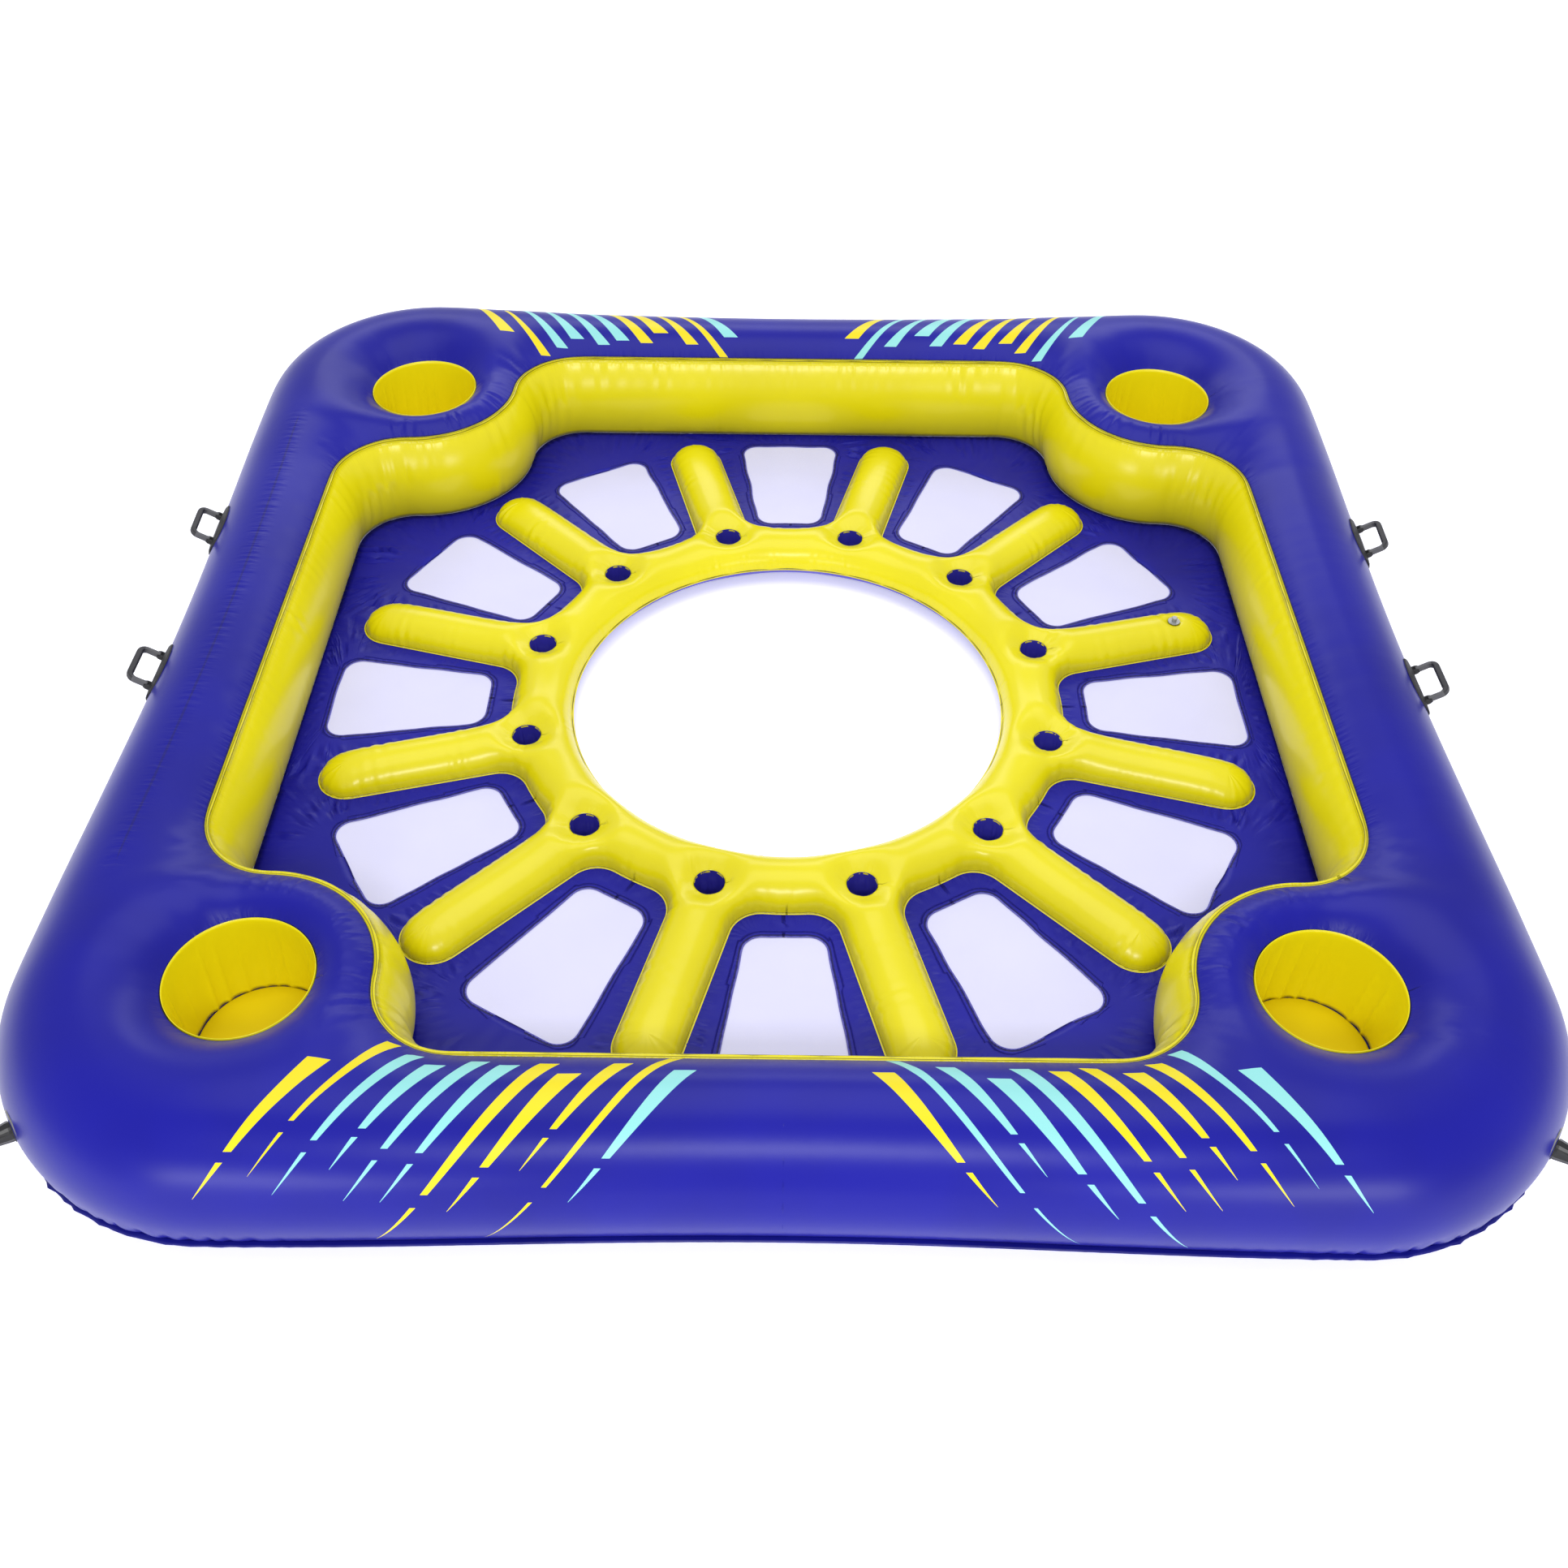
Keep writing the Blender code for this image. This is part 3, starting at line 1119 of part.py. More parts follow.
def chamber_baffles():
    """Two walls inside the tube part it into the left and right air chambers."""
    line = (
        Vector((TUBE_LINE - waist(STATION), 0.0, 0.0)), Vector((1.0, 0.0, 0.0)),
        Vector((WELL_HALF, 0.0, 0.0)), Vector((1.0, 0.0, 0.0)), 0.0,
    )
    crown, out = line[0], line[1]
    section = [tube_point(crown, out, 0.0, angle) for angle in reversed(TUBE_ANGLES)]
    section += [inner_row(line, step) for step in range(1, INNER_STEPS)]
    head = INNER_SEAM - SHEET - WELD_GAP
    foot = FLOOR_TOP + WELD_GAP
    for share in WALL_SHARES:
        inwards = WALL_BULGE * math.sin(math.pi * share) + WALL_LEAN * share
        section.append(Vector((WELL_HALF - inwards, 0.0, head + (foot - head) * share)))
    section += [under_row(line, 1), under_row(line, 0), crown + out * CONTACT_HALF]
    section.append(tube_point(crown, out, 0.0, UNDER_ANGLE))
    outline = inset([Vector((p.x, p.z)) for p in section], SHEET + WELD_GAP)
    for name, quarter in (("back", 1), ("front", 3)):
        bm = bmesh.new()
        rows = []
        for side in (-0.5, 0.5):
            rows.append([turn_plan((p.x, side * SHEET, p.y), quarter) for p in outline])
        made = loft(bm, rows, closed=True)
        bm.faces.new(made[0])
        bm.faces.new(made[-1])
        bmesh.ops.recalc_face_normals(bm, faces=bm.faces)
        add_object("chamber_baffle_" + name, bm, "blue_vinyl")


clear_scene()
ring_upper()
ring_lower(0, "ring_lower_back")
ring_lower(2, "ring_lower_front")
well_wall()
floor_sheet()
hub_upper()
hub_lower()
can_sleeves()
coolers()
handles()
main_valves()
hub_valve()
chamber_baffles()
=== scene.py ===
import math

import bmesh
import bpy
import numpy as np
from mathutils import Matrix, Vector
from mathutils.kdtree import KDTree


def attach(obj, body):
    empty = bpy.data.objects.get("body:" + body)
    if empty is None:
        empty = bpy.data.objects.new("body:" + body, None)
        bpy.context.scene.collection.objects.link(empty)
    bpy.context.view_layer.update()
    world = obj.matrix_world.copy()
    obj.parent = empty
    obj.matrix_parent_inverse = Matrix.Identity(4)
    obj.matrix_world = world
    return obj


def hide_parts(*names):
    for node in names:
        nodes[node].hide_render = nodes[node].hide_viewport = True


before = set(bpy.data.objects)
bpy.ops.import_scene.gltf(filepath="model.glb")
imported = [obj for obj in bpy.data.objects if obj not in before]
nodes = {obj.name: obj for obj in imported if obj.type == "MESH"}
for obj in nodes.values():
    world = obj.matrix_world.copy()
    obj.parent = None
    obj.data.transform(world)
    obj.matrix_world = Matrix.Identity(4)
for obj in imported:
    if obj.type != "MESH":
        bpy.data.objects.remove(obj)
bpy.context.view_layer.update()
scene = bpy.context.scene

# The raft's plan in metres, shared by every inflated piece
plan = {
    "tubeLine": 1.354, "tubeRadius": 0.171, "tubeHeight": 0.16798, "cornerRadius": 0.470, "cornerLift": 0.018,
    "waist": 0.022, "fillet": 0.1703, "filletStart": 0.6197, "filletTurn": 60.0, "cornerStart": 0.83735,
    "noseRadius": 0.265, "innerAngle": 135.04, "innerSeam": 0.28881, "outerSeam": 0.09843, "seamAngle": -24.0,
    "seamLap": 0.008, "wallLean": 0.022, "wallBulge": 0.030, "wallFoot": 0.0437, "creaseReach": 1.26,
    "floorTop": 0.046, "coolerOffset": 1.055, "coolerRadius": 0.146, "coolerRim": 0.28598,
    "hubRadius": 0.68505, "openingRadius": 0.54005, "spokeReach": 1.150, "spokeHalf": 0.0700,
    "spokeFillet": 0.0750, "canCircle": 0.65355, "canRadius": 0.034, "canLip": 0.009, "canRim": 0.0880,
    "spokes": 12,
}
tiny = {"height": 0.0003, "length": 1e-4, "step": 1e-6, "area": 1e-9}
# A weld's line is sampled at this step, and the runs of two kinds start this far apart
weldShape = {"step": 0.004, "apart": 13.0}
# Folds swell and shrink along a weld, over several of their own wavelengths
foldShape = {"longer": 6.3, "near": 0.7, "spread": 0.6, "widest": 1.2, "least": 0.15, "most": 1.3}
waveShape = {"count": 6, "shortest": 0.62, "longest": 1.55, "faintest": 0.5, "sum": 2.6}


def rgb(red, green, blue):
    # A screen colour as the linear values that shaders take
    out = []
    for value in (red, green, blue):
        share = value / 255.0
        out.append(share / 12.92 if share <= 0.04045 else ((share + 0.055) / 1.055) ** 2.4)
    return (*out, 1.0)


def rays(angle):
    # Directions in plan at the given angles
    return np.stack([np.cos(angle), np.sin(angle)], -1)


def turnBy(angle):
    # The matrix that turns rows of plan points
    c, s = math.cos(angle), math.sin(angle)
    return np.array([[c, s], [-s, c]])


def circleAt(centre, radius, count):
    return centre + radius * rays(np.linspace(0, 2 * math.pi, count, endpoint=False))


def level(points, height):
    return np.column_stack([points, np.broadcast_to(height, len(points))])


def smooth(share):
    share = np.clip(share, 0.0, 1.0)
    return share * share * (3.0 - 2.0 * share)


def runAlong(points):
    # The length run at each point of a polyline
    return np.concatenate([[0.0], np.cumsum(np.linalg.norm(np.diff(points, axis=0), axis=1))])


def cornerShare(points, start, span):
    # 0 along the sides, 1 in the corners
    return np.clip((np.minimum(np.abs(points[:, 0]), np.abs(points[:, 1])) - start) / span, 0.0, 1.0)


def startLoop(bm, points, closed):
    order = bm.verts.layers.int.get("order") or bm.verts.layers.int.new("order")
    made = []
    for number, point in enumerate(points):
        vert = bm.verts.new(point)
        vert[order] = number
        made.append(vert)
    pairs = list(zip(made, made[1:]))
    if closed:
        pairs.append((made[-1], made[0]))
    return [bm.edges.new(pair) for pair in pairs]


def grown(bm, edges):
    # The edges extruded in place: their new ends and the new edges
    made = bmesh.ops.extrude_edge_only(bm, edges=edges)["geom"]
    ends = {item for item in made if isinstance(item, bmesh.types.BMVert)}
    return ends, [e for e in made if isinstance(e, bmesh.types.BMEdge) and set(e.verts) <= ends]


def extrudeTo(bm, edges, points):
    # The next row of a skin: the new ends go to the given places
    order = bm.verts.layers.int["order"]
    ends, edges = grown(bm, edges)
    for vert in ends:
        vert.co = points[vert[order]]
    return edges


def skin(bm, rows, closed):
    # A surface through rows of points, each as long as the next
    first = edges = startLoop(bm, rows[0], closed)
    for row in rows[1:]:
        edges = extrudeTo(bm, edges, row)
    return first, edges


def faceUp(bm, up=True):
    # Every face of a sheet turned up, or every one down
    bmesh.ops.recalc_face_normals(bm, faces=bm.faces)
    if (sum(face.normal.z * face.calc_area() for face in bm.faces) > 0) != up:
        bmesh.ops.reverse_faces(bm, faces=bm.faces)


def creaseAt(bm, height):
    # A sharp edge where the ring meets the well at this height
    layer = bm.edges.layers.float.get("crease_edge") or bm.edges.layers.float.new("crease_edge")
    for edge in bm.edges:
        if all(
            abs(v.co.z - height) < tiny["height"] and max(abs(v.co.x), abs(v.co.y)) < plan["creaseReach"]
            for v in edge.verts
        ):
            edge[layer] = 1.0


def subdivided(bm, name, levels):
    # The smooth surface over a cage, as a mesh of its own
    cage = bpy.data.meshes.new(name + "Cage")
    bm.to_mesh(cage)
    bm.free()
    holder = bpy.data.objects.new(name + "Cage", cage)
    scene.collection.objects.link(holder)
    soft = holder.modifiers.new("Smooth", "SUBSURF")
    soft.levels = soft.render_levels = levels
    graph = bpy.context.evaluated_depsgraph_get()
    mesh = bpy.data.meshes.new_from_object(holder.evaluated_get(graph))
    mesh.name = name
    bpy.data.objects.remove(holder)
    bpy.data.meshes.remove(cage)
    return mesh


def toMesh(bm, name):
    mesh = bpy.data.meshes.new(name)
    bm.normal_update()
    bm.to_mesh(mesh)
    bm.free()
    return mesh


def skinned(name, rows, capped=False):
    # The mesh of one closed skin, with a face over its last row where it is capped
    bm = bmesh.new()
    _, last = skin(bm, rows, True)
    if capped:
        bmesh.ops.contextual_create(bm, geom=last)
    bmesh.ops.recalc_face_normals(bm, faces=bm.faces)
    return toMesh(bm, name)


def vectorsOf(mesh, key):
    flat = np.empty(len(mesh.vertices) * 3)
    mesh.vertices.foreach_get(key, flat)
    return flat.reshape(-1, 3)


def setCoords(mesh, coords):
    mesh.vertices.foreach_set("co", np.ascontiguousarray(coords, dtype=np.float64).ravel())
    mesh.update()


def ripple(along, wavelength, seed):
    # An uneven wave: a few cosines whose lengths and starts differ
    chance = np.random.default_rng(seed)
    total = np.zeros_like(along)
    s = waveShape
    for _ in range(s["count"]):
        length = wavelength * chance.uniform(s["shortest"], s["longest"])
        height = chance.uniform(s["faintest"], 1.0)
        total += height * np.cos(2 * math.pi * along / length + chance.uniform(0, 6.283))
    return total / s["sum"]


def sampled(points, step, closed):
    # A polyline at an even spacing, with the length run so far
    line = np.asarray([list(p) for p in points], float)
    if closed:
        line = np.vstack([line, line[:1]])
    steps = np.linalg.norm(np.diff(line, axis=0), axis=1)
    keep = np.concatenate([[True], steps > 1e-9])
    line, steps = line[keep], steps[steps > 1e-9]
    run = np.concatenate([[0.0], np.cumsum(steps)])
    count = max(int(run[-1] / step), 4)
    at = np.linspace(0.0, run[-1], count, endpoint=not closed)
    return np.stack([np.interp(at, run, line[:, k]) for k in range(3)], 1), at


def weldField(coords, curves):
    # For each point: the run along its nearest weld, its distance to it, and which weld it is
    spots, runs, kinds = [], [], []
    for kind, (points, closed) in curves:
        line, at = sampled(points, weldShape["step"], closed)
        spots.append(line)
        runs.append(at + weldShape["apart"] * kind)
        kinds.append(np.full(len(at), float(kind)))
    spots, runs, kinds = np.vstack(spots), np.concatenate(runs), np.concatenate(kinds)
    tree = KDTree(len(spots))
    for index, spot in enumerate(spots):
        tree.insert(spot, index)
    tree.balance()
    field = np.empty((len(coords), 3))
    for row, point in enumerate(coords):
        _, index, gap = tree.find(point)
        field[row] = runs[index], gap, kinds[index]
    return field


def pucker(coords, normals, field, folds, kinds):
    # Folds that run away from a weld: strongest a little way off, gone beyond their reach
    wavelength, reach, depth, seed = folds
    run, gap, kind = field.T
    s = foldShape
    swell = 0.5 + 0.5 * ripple(run, wavelength * s["longer"], seed + 1)
    share = gap / (reach * (s["near"] + s["spread"] * np.clip(swell, 0, s["widest"])))
    swell = np.clip(swell, s["least"], s["most"])
    amount = depth * swell * share * np.exp(1.0 - share) * ripple(run, wavelength, seed)
    return coords + normals * np.where(np.isin(kind, kinds), amount, 0.0)[:, None]


def setWeld(mesh, field):
    attribute = mesh.attributes.new("weld", "FLOAT_VECTOR", "POINT")
    attribute.data.foreach_set("vector", np.ascontiguousarray(field, dtype=np.float32).ravel())


def place(mesh, looks, body, slot, *replaced):
    for look in looks:
        mesh.materials.append(materials[look])
    mesh.shade_smooth()
    made = bpy.data.objects.new(mesh.name, mesh)
    scene.collection.objects.link(made)
    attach(made, body)
    if replaced:
        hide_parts(*replaced)
    return made


def thicken(obj, thickness, offset=-1.0):
    solid = obj.modifiers.new("Thickness", "SOLIDIFY")
    solid.thickness = thickness
    solid.offset = offset


# Materials

def addNode(tree, kind, **values):
    node = tree.nodes.new(kind)
    for key, value in values.items():
        setattr(node, key, value)
    return node


def mathNode(tree, operation, first, second=None, clamp=False):
    node = addNode(tree, "ShaderNodeMath", operation=operation, use_clamp=clamp)
    for socket, value in zip(node.inputs, (first, second)):
        if isinstance(value, (int, float)):
            socket.default_value = value
        elif value is not None:
            tree.links.new(value, socket)
    return node.outputs[0]


def axes(tree, vector):
    parts = addNode(tree, "ShaderNodeSeparateXYZ")
    tree.links.new(vector, parts.inputs[0])
    return parts.outputs


def noiseAt(tree, where, scale, detail):
    noise = addNode(tree, "ShaderNodeTexNoise")
    noise.inputs["Scale"].default_value = scale
    noise.inputs["Detail"].default_value = detail
    tree.links.new(where, noise.inputs["Vector"])
    return noise.outputs["Fac"]


def toned(tree, share, first, last, start=0.0, end=1.0):
    # A ramp from one colour to another
    ramp = addNode(tree, "ShaderNodeValToRGB")
    for element, position, colour in zip(ramp.color_ramp.elements, (start, end), (first, last)):
        element.position = position
        element.color = colour
    tree.links.new(share, ramp.inputs["Fac"])
    return ramp.outputs["Color"]


def mixed(tree, share, ground, tone):
    over = addNode(tree, "ShaderNodeMix", data_type="RGBA")
    tree.links.new(share, over.inputs[0])
    for socket, value in ((over.inputs[6], ground), (over.inputs[7], tone)):
        if isinstance(value, tuple):
            socket.default_value = value
        else:
            tree.links.new(value, socket)
    return over.outputs[2]


def bumped(tree, height, distance, strength, before=None):
    bump = addNode(tree, "ShaderNodeBump")
    bump.inputs["Distance"].default_value = distance
    bump.inputs["Strength"].default_value = strength
    tree.links.new(height, bump.inputs["Height"])
    if before is not None:
        tree.links.new(before, bump.inputs["Normal"])
    return bump.outputs["Normal"]


def newMaterial(name, values):
    # A material with the given shader values
    made = bpy.data.materials.new(name)
    made.use_nodes = True
    tree = made.node_tree
    shader = tree.nodes["Principled BSDF"]
    for key, value in values.items():
        shader.inputs[key].default_value = value
    return made, tree, shader.inputs


def objectCoords(tree):
    return addNode(tree, "ShaderNodeTexCoord").outputs["Object"]


def weldGroup():
    # Fine folds beside the welds, from the weld attribute
    look = {"along": 0.45, "apart": 7.3, "detail": 2.0, "fall": 1.6}
    group = bpy.data.node_groups.new("weldFolds", "ShaderNodeTree")
    for name, way in (("Wavelength", "INPUT"), ("Reach", "INPUT"), ("Height", "OUTPUT")):
        group.interface.new_socket(name, in_out=way, socket_type="NodeSocketFloat")
    inside = addNode(group, "NodeGroupInput")
    outside = addNode(group, "NodeGroupOutput")
    weld = addNode(group, "ShaderNodeAttribute", attribute_name="weld")
    run, gap, kind = axes(group, weld.outputs["Vector"])
    away = mathNode(group, "DIVIDE", gap, inside.outputs["Reach"])
    join = addNode(group, "ShaderNodeCombineXYZ")
    group.links.new(mathNode(group, "DIVIDE", run, inside.outputs["Wavelength"]), join.inputs[0])
    group.links.new(mathNode(group, "MULTIPLY", away, look["along"]), join.inputs[1])
    group.links.new(mathNode(group, "MULTIPLY", kind, look["apart"]), join.inputs[2])
    wave = mathNode(group, "SUBTRACT", noiseAt(group, join.outputs[0], 1.0, look["detail"]), 0.5)
    near = mathNode(group, "SUBTRACT", 1.0, away, clamp=True)
    fall = mathNode(group, "POWER", near, look["fall"])
    group.links.new(mathNode(group, "MULTIPLY", wave, fall), outside.inputs["Height"])
    return group


weldFolds = weldGroup()

# Noise scale and detail, ramp positions, and bump distance and strength
vinylGrain = {"cloud": (2.6, 3.0), "ramp": (0.35, 0.62), "dents": (26.0, 2.5), "bump": (0.0006, 0.35), "sheen": 0.45}


def shades(base, deep, rough, shine, haze=0.0):
    return {"base": (*base, 1.0), "deep": (*deep, 1.0), "rough": rough, "shine": shine, "haze": haze}


vinylLook = {
    "blue": shades((0.0036, 0.0036, 0.262), (0.0030, 0.0028, 0.216), 0.34, 0.24, 0.02),
    "floorBlue": shades((0.0085, 0.0080, 0.285), (0.0060, 0.0055, 0.225), 0.34, 0.20),
    "yellow": shades((0.720, 0.640, 0.0030), (0.670, 0.590, 0.0020), 0.26, 0.40),
    # Painted bounce light: the wells' floors and sleeves are brighter copies of the yellow vinyl, the floors also more
    # orange, standing in for light bouncing inside the wells
    "bounceLitYellow": shades((0.800, 0.640, 0.0040), (0.750, 0.590, 0.0030), 0.45, 0.20),
    "sleeve": shades((0.870, 0.770, 0.0050), (0.830, 0.720, 0.0040), 0.30, 0.50),
    "fin": shades((0.0050, 0.0060, 0.200), (0.0035, 0.0040, 0.150), 0.34, 0.30),
    # Painted shade: a darker blue for the bottom sheet seen in the gap round each cooler's floor
    "gapShadeBlue": shades((0.0200, 0.0190, 0.180), (0.0120, 0.0110, 0.130), 0.22, 0.60),
    "canBlue": shades((0.0450, 0.0400, 0.400), (0.0300, 0.0260, 0.300), 0.18, 1.0),
    # Painted bounce light: the hub's blue under sheet is painted pale lavender, standing in for light from the white
    # floor below
    "under": shades(rgb(92, 88, 190)[:3], rgb(70, 66, 170)[:3], 0.35, 0.30),
}


def seamLines(tree, colour, lines):
    # Thin lines along the welds: each is a range of kinds, a nearest and a farthest gap, and a tone
    weld = addNode(tree, "ShaderNodeAttribute", attribute_name="weld")
    _, gap, kind = axes(tree, weld.outputs["Vector"])
    for low, high, near, far, share, tone in lines:
        shown = share
        for operation, value, limit in (
            ("GREATER_THAN", kind, low - 0.5), ("LESS_THAN", kind, high + 0.5),
            ("GREATER_THAN", gap, near), ("LESS_THAN", gap, far),
        ):
            shown = mathNode(tree, "MULTIPLY", mathNode(tree, operation, value, limit), shown)
        colour = mixed(tree, shown, colour, tone)
    return colour


def vinyl(name, look, folds=0.0, wavelength=0.016, reach=0.045, printAndFloorReflection=False, lines=()):
    values = vinylLook[look]
    made, tree, shader = newMaterial(name, {
        "Roughness": values["rough"], "Specular IOR Level": values["shine"],
        "Sheen Weight": values["haze"], "Sheen Roughness": vinylGrain["sheen"],
    })
    where = objectCoords(tree)
    cloud = noiseAt(tree, where, *vinylGrain["cloud"])
    colour = toned(tree, cloud, values["deep"], values["base"], *vinylGrain["ramp"])
    if printAndFloorReflection:
        # A printed ring also gets a painted reflection of the floor below its outer seam
        colour = paintedFloorReflection(tree, where, printOn(tree, colour))
    if lines:
        colour = seamLines(tree, colour, lines)
    tree.links.new(colour, shader["Base Color"])
    normal = bumped(tree, noiseAt(tree, where, *vinylGrain["dents"]), *vinylGrain["bump"])
    if folds:
        group = addNode(tree, "ShaderNodeGroup", node_tree=weldFolds)
        group.inputs["Wavelength"].default_value = wavelength
        group.inputs["Reach"].default_value = reach
        normal = bumped(tree, group.outputs["Height"], folds, 1.0, normal)
    tree.links.new(normal, shader["Normal"])
    return made


def paintedFloorReflection(tree, where, ground):
    # Painted reflection: the skin is painted paler lavender below the outer seam, standing in for the white floor
    # reflected there
    look = {"From Min": 0.100, "From Max": 0.080, "To Min": 0.0, "To Max": 0.55}
    low = addNode(tree, "ShaderNodeMapRange", interpolation_type="SMOOTHSTEP")
    tree.links.new(axes(tree, where)[2], low.inputs["Value"])
    for socket, value in look.items():
        low.inputs[socket].default_value = value
    return mixed(tree, low.outputs["Result"], ground, rgb(150, 148, 215))


def printOn(tree, ground):
    # Slanted bars in two light colours on the front and back sides, each with a short bar under its foot
    look = {
        "aqua": rgb(138, 208, 204), "yellow": rgb(222, 205, 24), "pitch": 0.066, "slant": -0.74,
        "bar": 0.31, "firstCell": 2.5, "lastCell": 13.5, "top": -0.150, "foot": 0.332,
        "topVaries": 0.10, "footVaries": 0.24, "breakAt": 0.70, "breakHalf": 0.035, "thin": 0.6, "thick": 0.5,
    }
    uv = addNode(tree, "ShaderNodeUVMap", uv_map="printMap")
    across, down, _ = axes(tree, uv.outputs["UV"])

    def op(operation, first, second=None, clamp=False):
        return mathNode(tree, operation, first, second, clamp)

    size = op("ABSOLUTE", across)
    course = op("DIVIDE", op("ADD", size, op("MULTIPLY", down, look["slant"])), look["pitch"])
    cell = op("FLOOR", course)
    inside = op("SUBTRACT", op("FRACT", course), 0.5)
    pick = addNode(tree, "ShaderNodeTexWhiteNoise", noise_dimensions="1D")
    tree.links.new(cell, pick.inputs["W"])
    chance = pick.outputs["Value"]
    # Each bar runs from its own start to its own end
    first = op("ADD", op("MULTIPLY", chance, look["topVaries"]), look["top"])
    other = op("FRACT", op("MULTIPLY", chance, 7.0))
    last = op("SUBTRACT", look["foot"], op("MULTIPLY", other, look["footVaries"]))
    share = op("DIVIDE", op("SUBTRACT", down, first), op("SUBTRACT", last, first))
    taper = op("MULTIPLY", op("SUBTRACT", 1.02, share, True), look["bar"])
    thick = op("MULTIPLY", taper, op("ADD", op("MULTIPLY", chance, look["thick"]), look["thin"]))
    shown = op("LESS_THAN", op("ABSOLUTE", inside), thick)
    for operation, value, limit in (
        ("GREATER_THAN", share, 0.0), ("LESS_THAN", share, 1.0),
        ("GREATER_THAN", op("ABSOLUTE", op("SUBTRACT", share, look["breakAt"])), look["breakHalf"]),
        ("GREATER_THAN", cell, look["firstCell"]), ("LESS_THAN", cell, look["lastCell"]),
    ):
        shown = op("MULTIPLY", shown, op(operation, value, limit))
    # The two colours change every four bars, and left and right don't match
    side = op("MULTIPLY", op("GREATER_THAN", across, 0.0), 4.0)
    turn = op("FRACT", op("MULTIPLY", op("ADD", cell, side), 0.125))
    tone = mixed(tree, op("GREATER_THAN", turn, 0.49), look["aqua"], look["yellow"])
    return mixed(tree, shown, ground, tone)


def plain(name, colour, rough, coat=0.0):
    # Rubber and hard plastic: a slightly uneven tone and a fine moulded grain
    look = {"grain": (60.0, 3.0), "bump": (0.0003, 0.5), "dark": 0.8}
    made, tree, shader = newMaterial(name, {"Roughness": rough, "Coat Weight": coat})
    where = objectCoords(tree)
    noise = noiseAt(tree, where, *look["grain"])
    dark = tuple(look["dark"] * c for c in colour[:3]) + (1.0,)
    tree.links.new(toned(tree, noise, dark, colour), shader["Base Color"])
    tree.links.new(bumped(tree, noise, *look["bump"]), shader["Normal"])
    return made


def meshCloth():
    look = {
        "thread": 0.0016, "cloud": (5.0, 2.0), "bump": (0.0002, 0.4), "rough": 0.75, "haze": 0.2,
        "tones": (rgb(204, 204, 236), rgb(214, 214, 244)),
    }
    made, tree, shader = newMaterial("meshCloth", {"Roughness": look["rough"], "Sheen Weight": look["haze"]})
    where = objectCoords(tree)
    course = 2 * math.pi / look["thread"]
    x, y, _ = axes(tree, where)
    waves = [mathNode(tree, "SINE", mathNode(tree, "MULTIPLY", value, course)) for value in (x, y)]
    weave = mathNode(tree, "MULTIPLY", *waves)
    tree.links.new(bumped(tree, weave, *look["bump"]), shader["Normal"])
    cloud = noiseAt(tree, where, *look["cloud"])
    tree.links.new(toned(tree, cloud, *look["tones"]), shader["Base Color"])
    return made


# What each weld is in the weld attribute, counted from these numbers where there are several
welds = {
    "head": 0, "outer": 1, "mouths": 2, "crown": 7, "cans": 20, "foot": 20, "windows": 30, "opening": 40,
}
outlineKinds = tuple(range(12))

materials = {
    "ring": vinyl("ringVinyl", "blue", folds=0.0045, wavelength=0.016, reach=0.040, printAndFloorReflection=True, lines=(
        (0, 0, 0.0, 0.0030, 0.8, rgb(20, 18, 70)), (2, 5, 0.0, 0.0045, 0.9, rgb(14, 12, 60)),
        (7, 7, -0.1, 0.0040, 0.50, rgb(24, 20, 86)),
    )),
    "fin": vinyl("finVinyl", "fin"),
    "wall": vinyl("wallVinyl", "yellow", folds=0.004, wavelength=0.014, reach=0.040, lines=(
        (0, 0, 0.0026, 0.0046, 0.75, rgb(120, 112, 12)), (0, 0, 0.0070, 0.0084, 0.45, rgb(150, 140, 12)),
    )),
    "hub": vinyl("hubVinyl", "yellow", folds=0.004, wavelength=0.012, reach=0.030, lines=(
        (0, 11, 0.0016, 0.0030, 0.70, rgb(120, 112, 10)), (0, 11, 0.0052, 0.0062, 0.40, rgb(150, 140, 10)),
        (40, 40, 0.0, 0.0025, 0.85, rgb(70, 64, 30)), (20, 31, -0.1, 0.0013, 0.75, rgb(96, 90, 20)),
    )),
    "hubUnderBounce": vinyl("hubUnderBounceVinyl", "under"),
    "floor": vinyl("floorVinyl", "floorBlue", folds=0.005, wavelength=0.014, reach=0.050, lines=(
        (30, 41, -0.1, 0.0036, 0.60, rgb(120, 118, 196)), (30, 41, 0.0044, 0.0082, 0.80, rgb(16, 12, 58)),
    )),
    "canSleeve": vinyl("canVinyl", "canBlue"),
    # The wells' sleeves and floors carry painted bounce light
    "coolerSleeve": vinyl("coolerSleeveBounceVinyl", "sleeve"),
    "coolerFloor": vinyl("coolerFloorBounceVinyl", "bounceLitYellow"),
    # The ring in the gap round each well's floor is the blue sheet painted darker as shade
    "gapShadeRing": vinyl("gapShadeRingVinyl", "gapShadeBlue"),
    "inner": vinyl("innerVinyl", "blue"),
    "mesh": meshCloth(),
    "blackRubber": plain("patchRubber", rgb(20, 20, 22), 0.55),
    "greyRubber": plain("gripRubber", rgb(88, 88, 90), 0.50),
    "gripBar": plain("barRubber", rgb(40, 40, 43), 0.48),
    "greyPlastic": plain("flangePlastic", rgb(120, 120, 112), 0.38),
    "blackPlastic": plain("capPlastic", rgb(14, 14, 16), 0.36),
    "clearPlastic": plain("stemPlastic", rgb(150, 153, 156), 0.18, coat=0.5),
}
print("materials")


# Lines of the plan

def quarterTurn(points, quarter):
    # Rows of two or three values, turned about the raft's axis
    return np.column_stack([points[:, :2] @ turnBy(0.5 * math.pi * quarter), points[:, 2:]])


def waistAt(along):
    share = np.minimum(np.abs(along) / plan["coolerOffset"], 1.0)
    return plan["waist"] * np.cos(0.5 * math.pi * share) ** 2


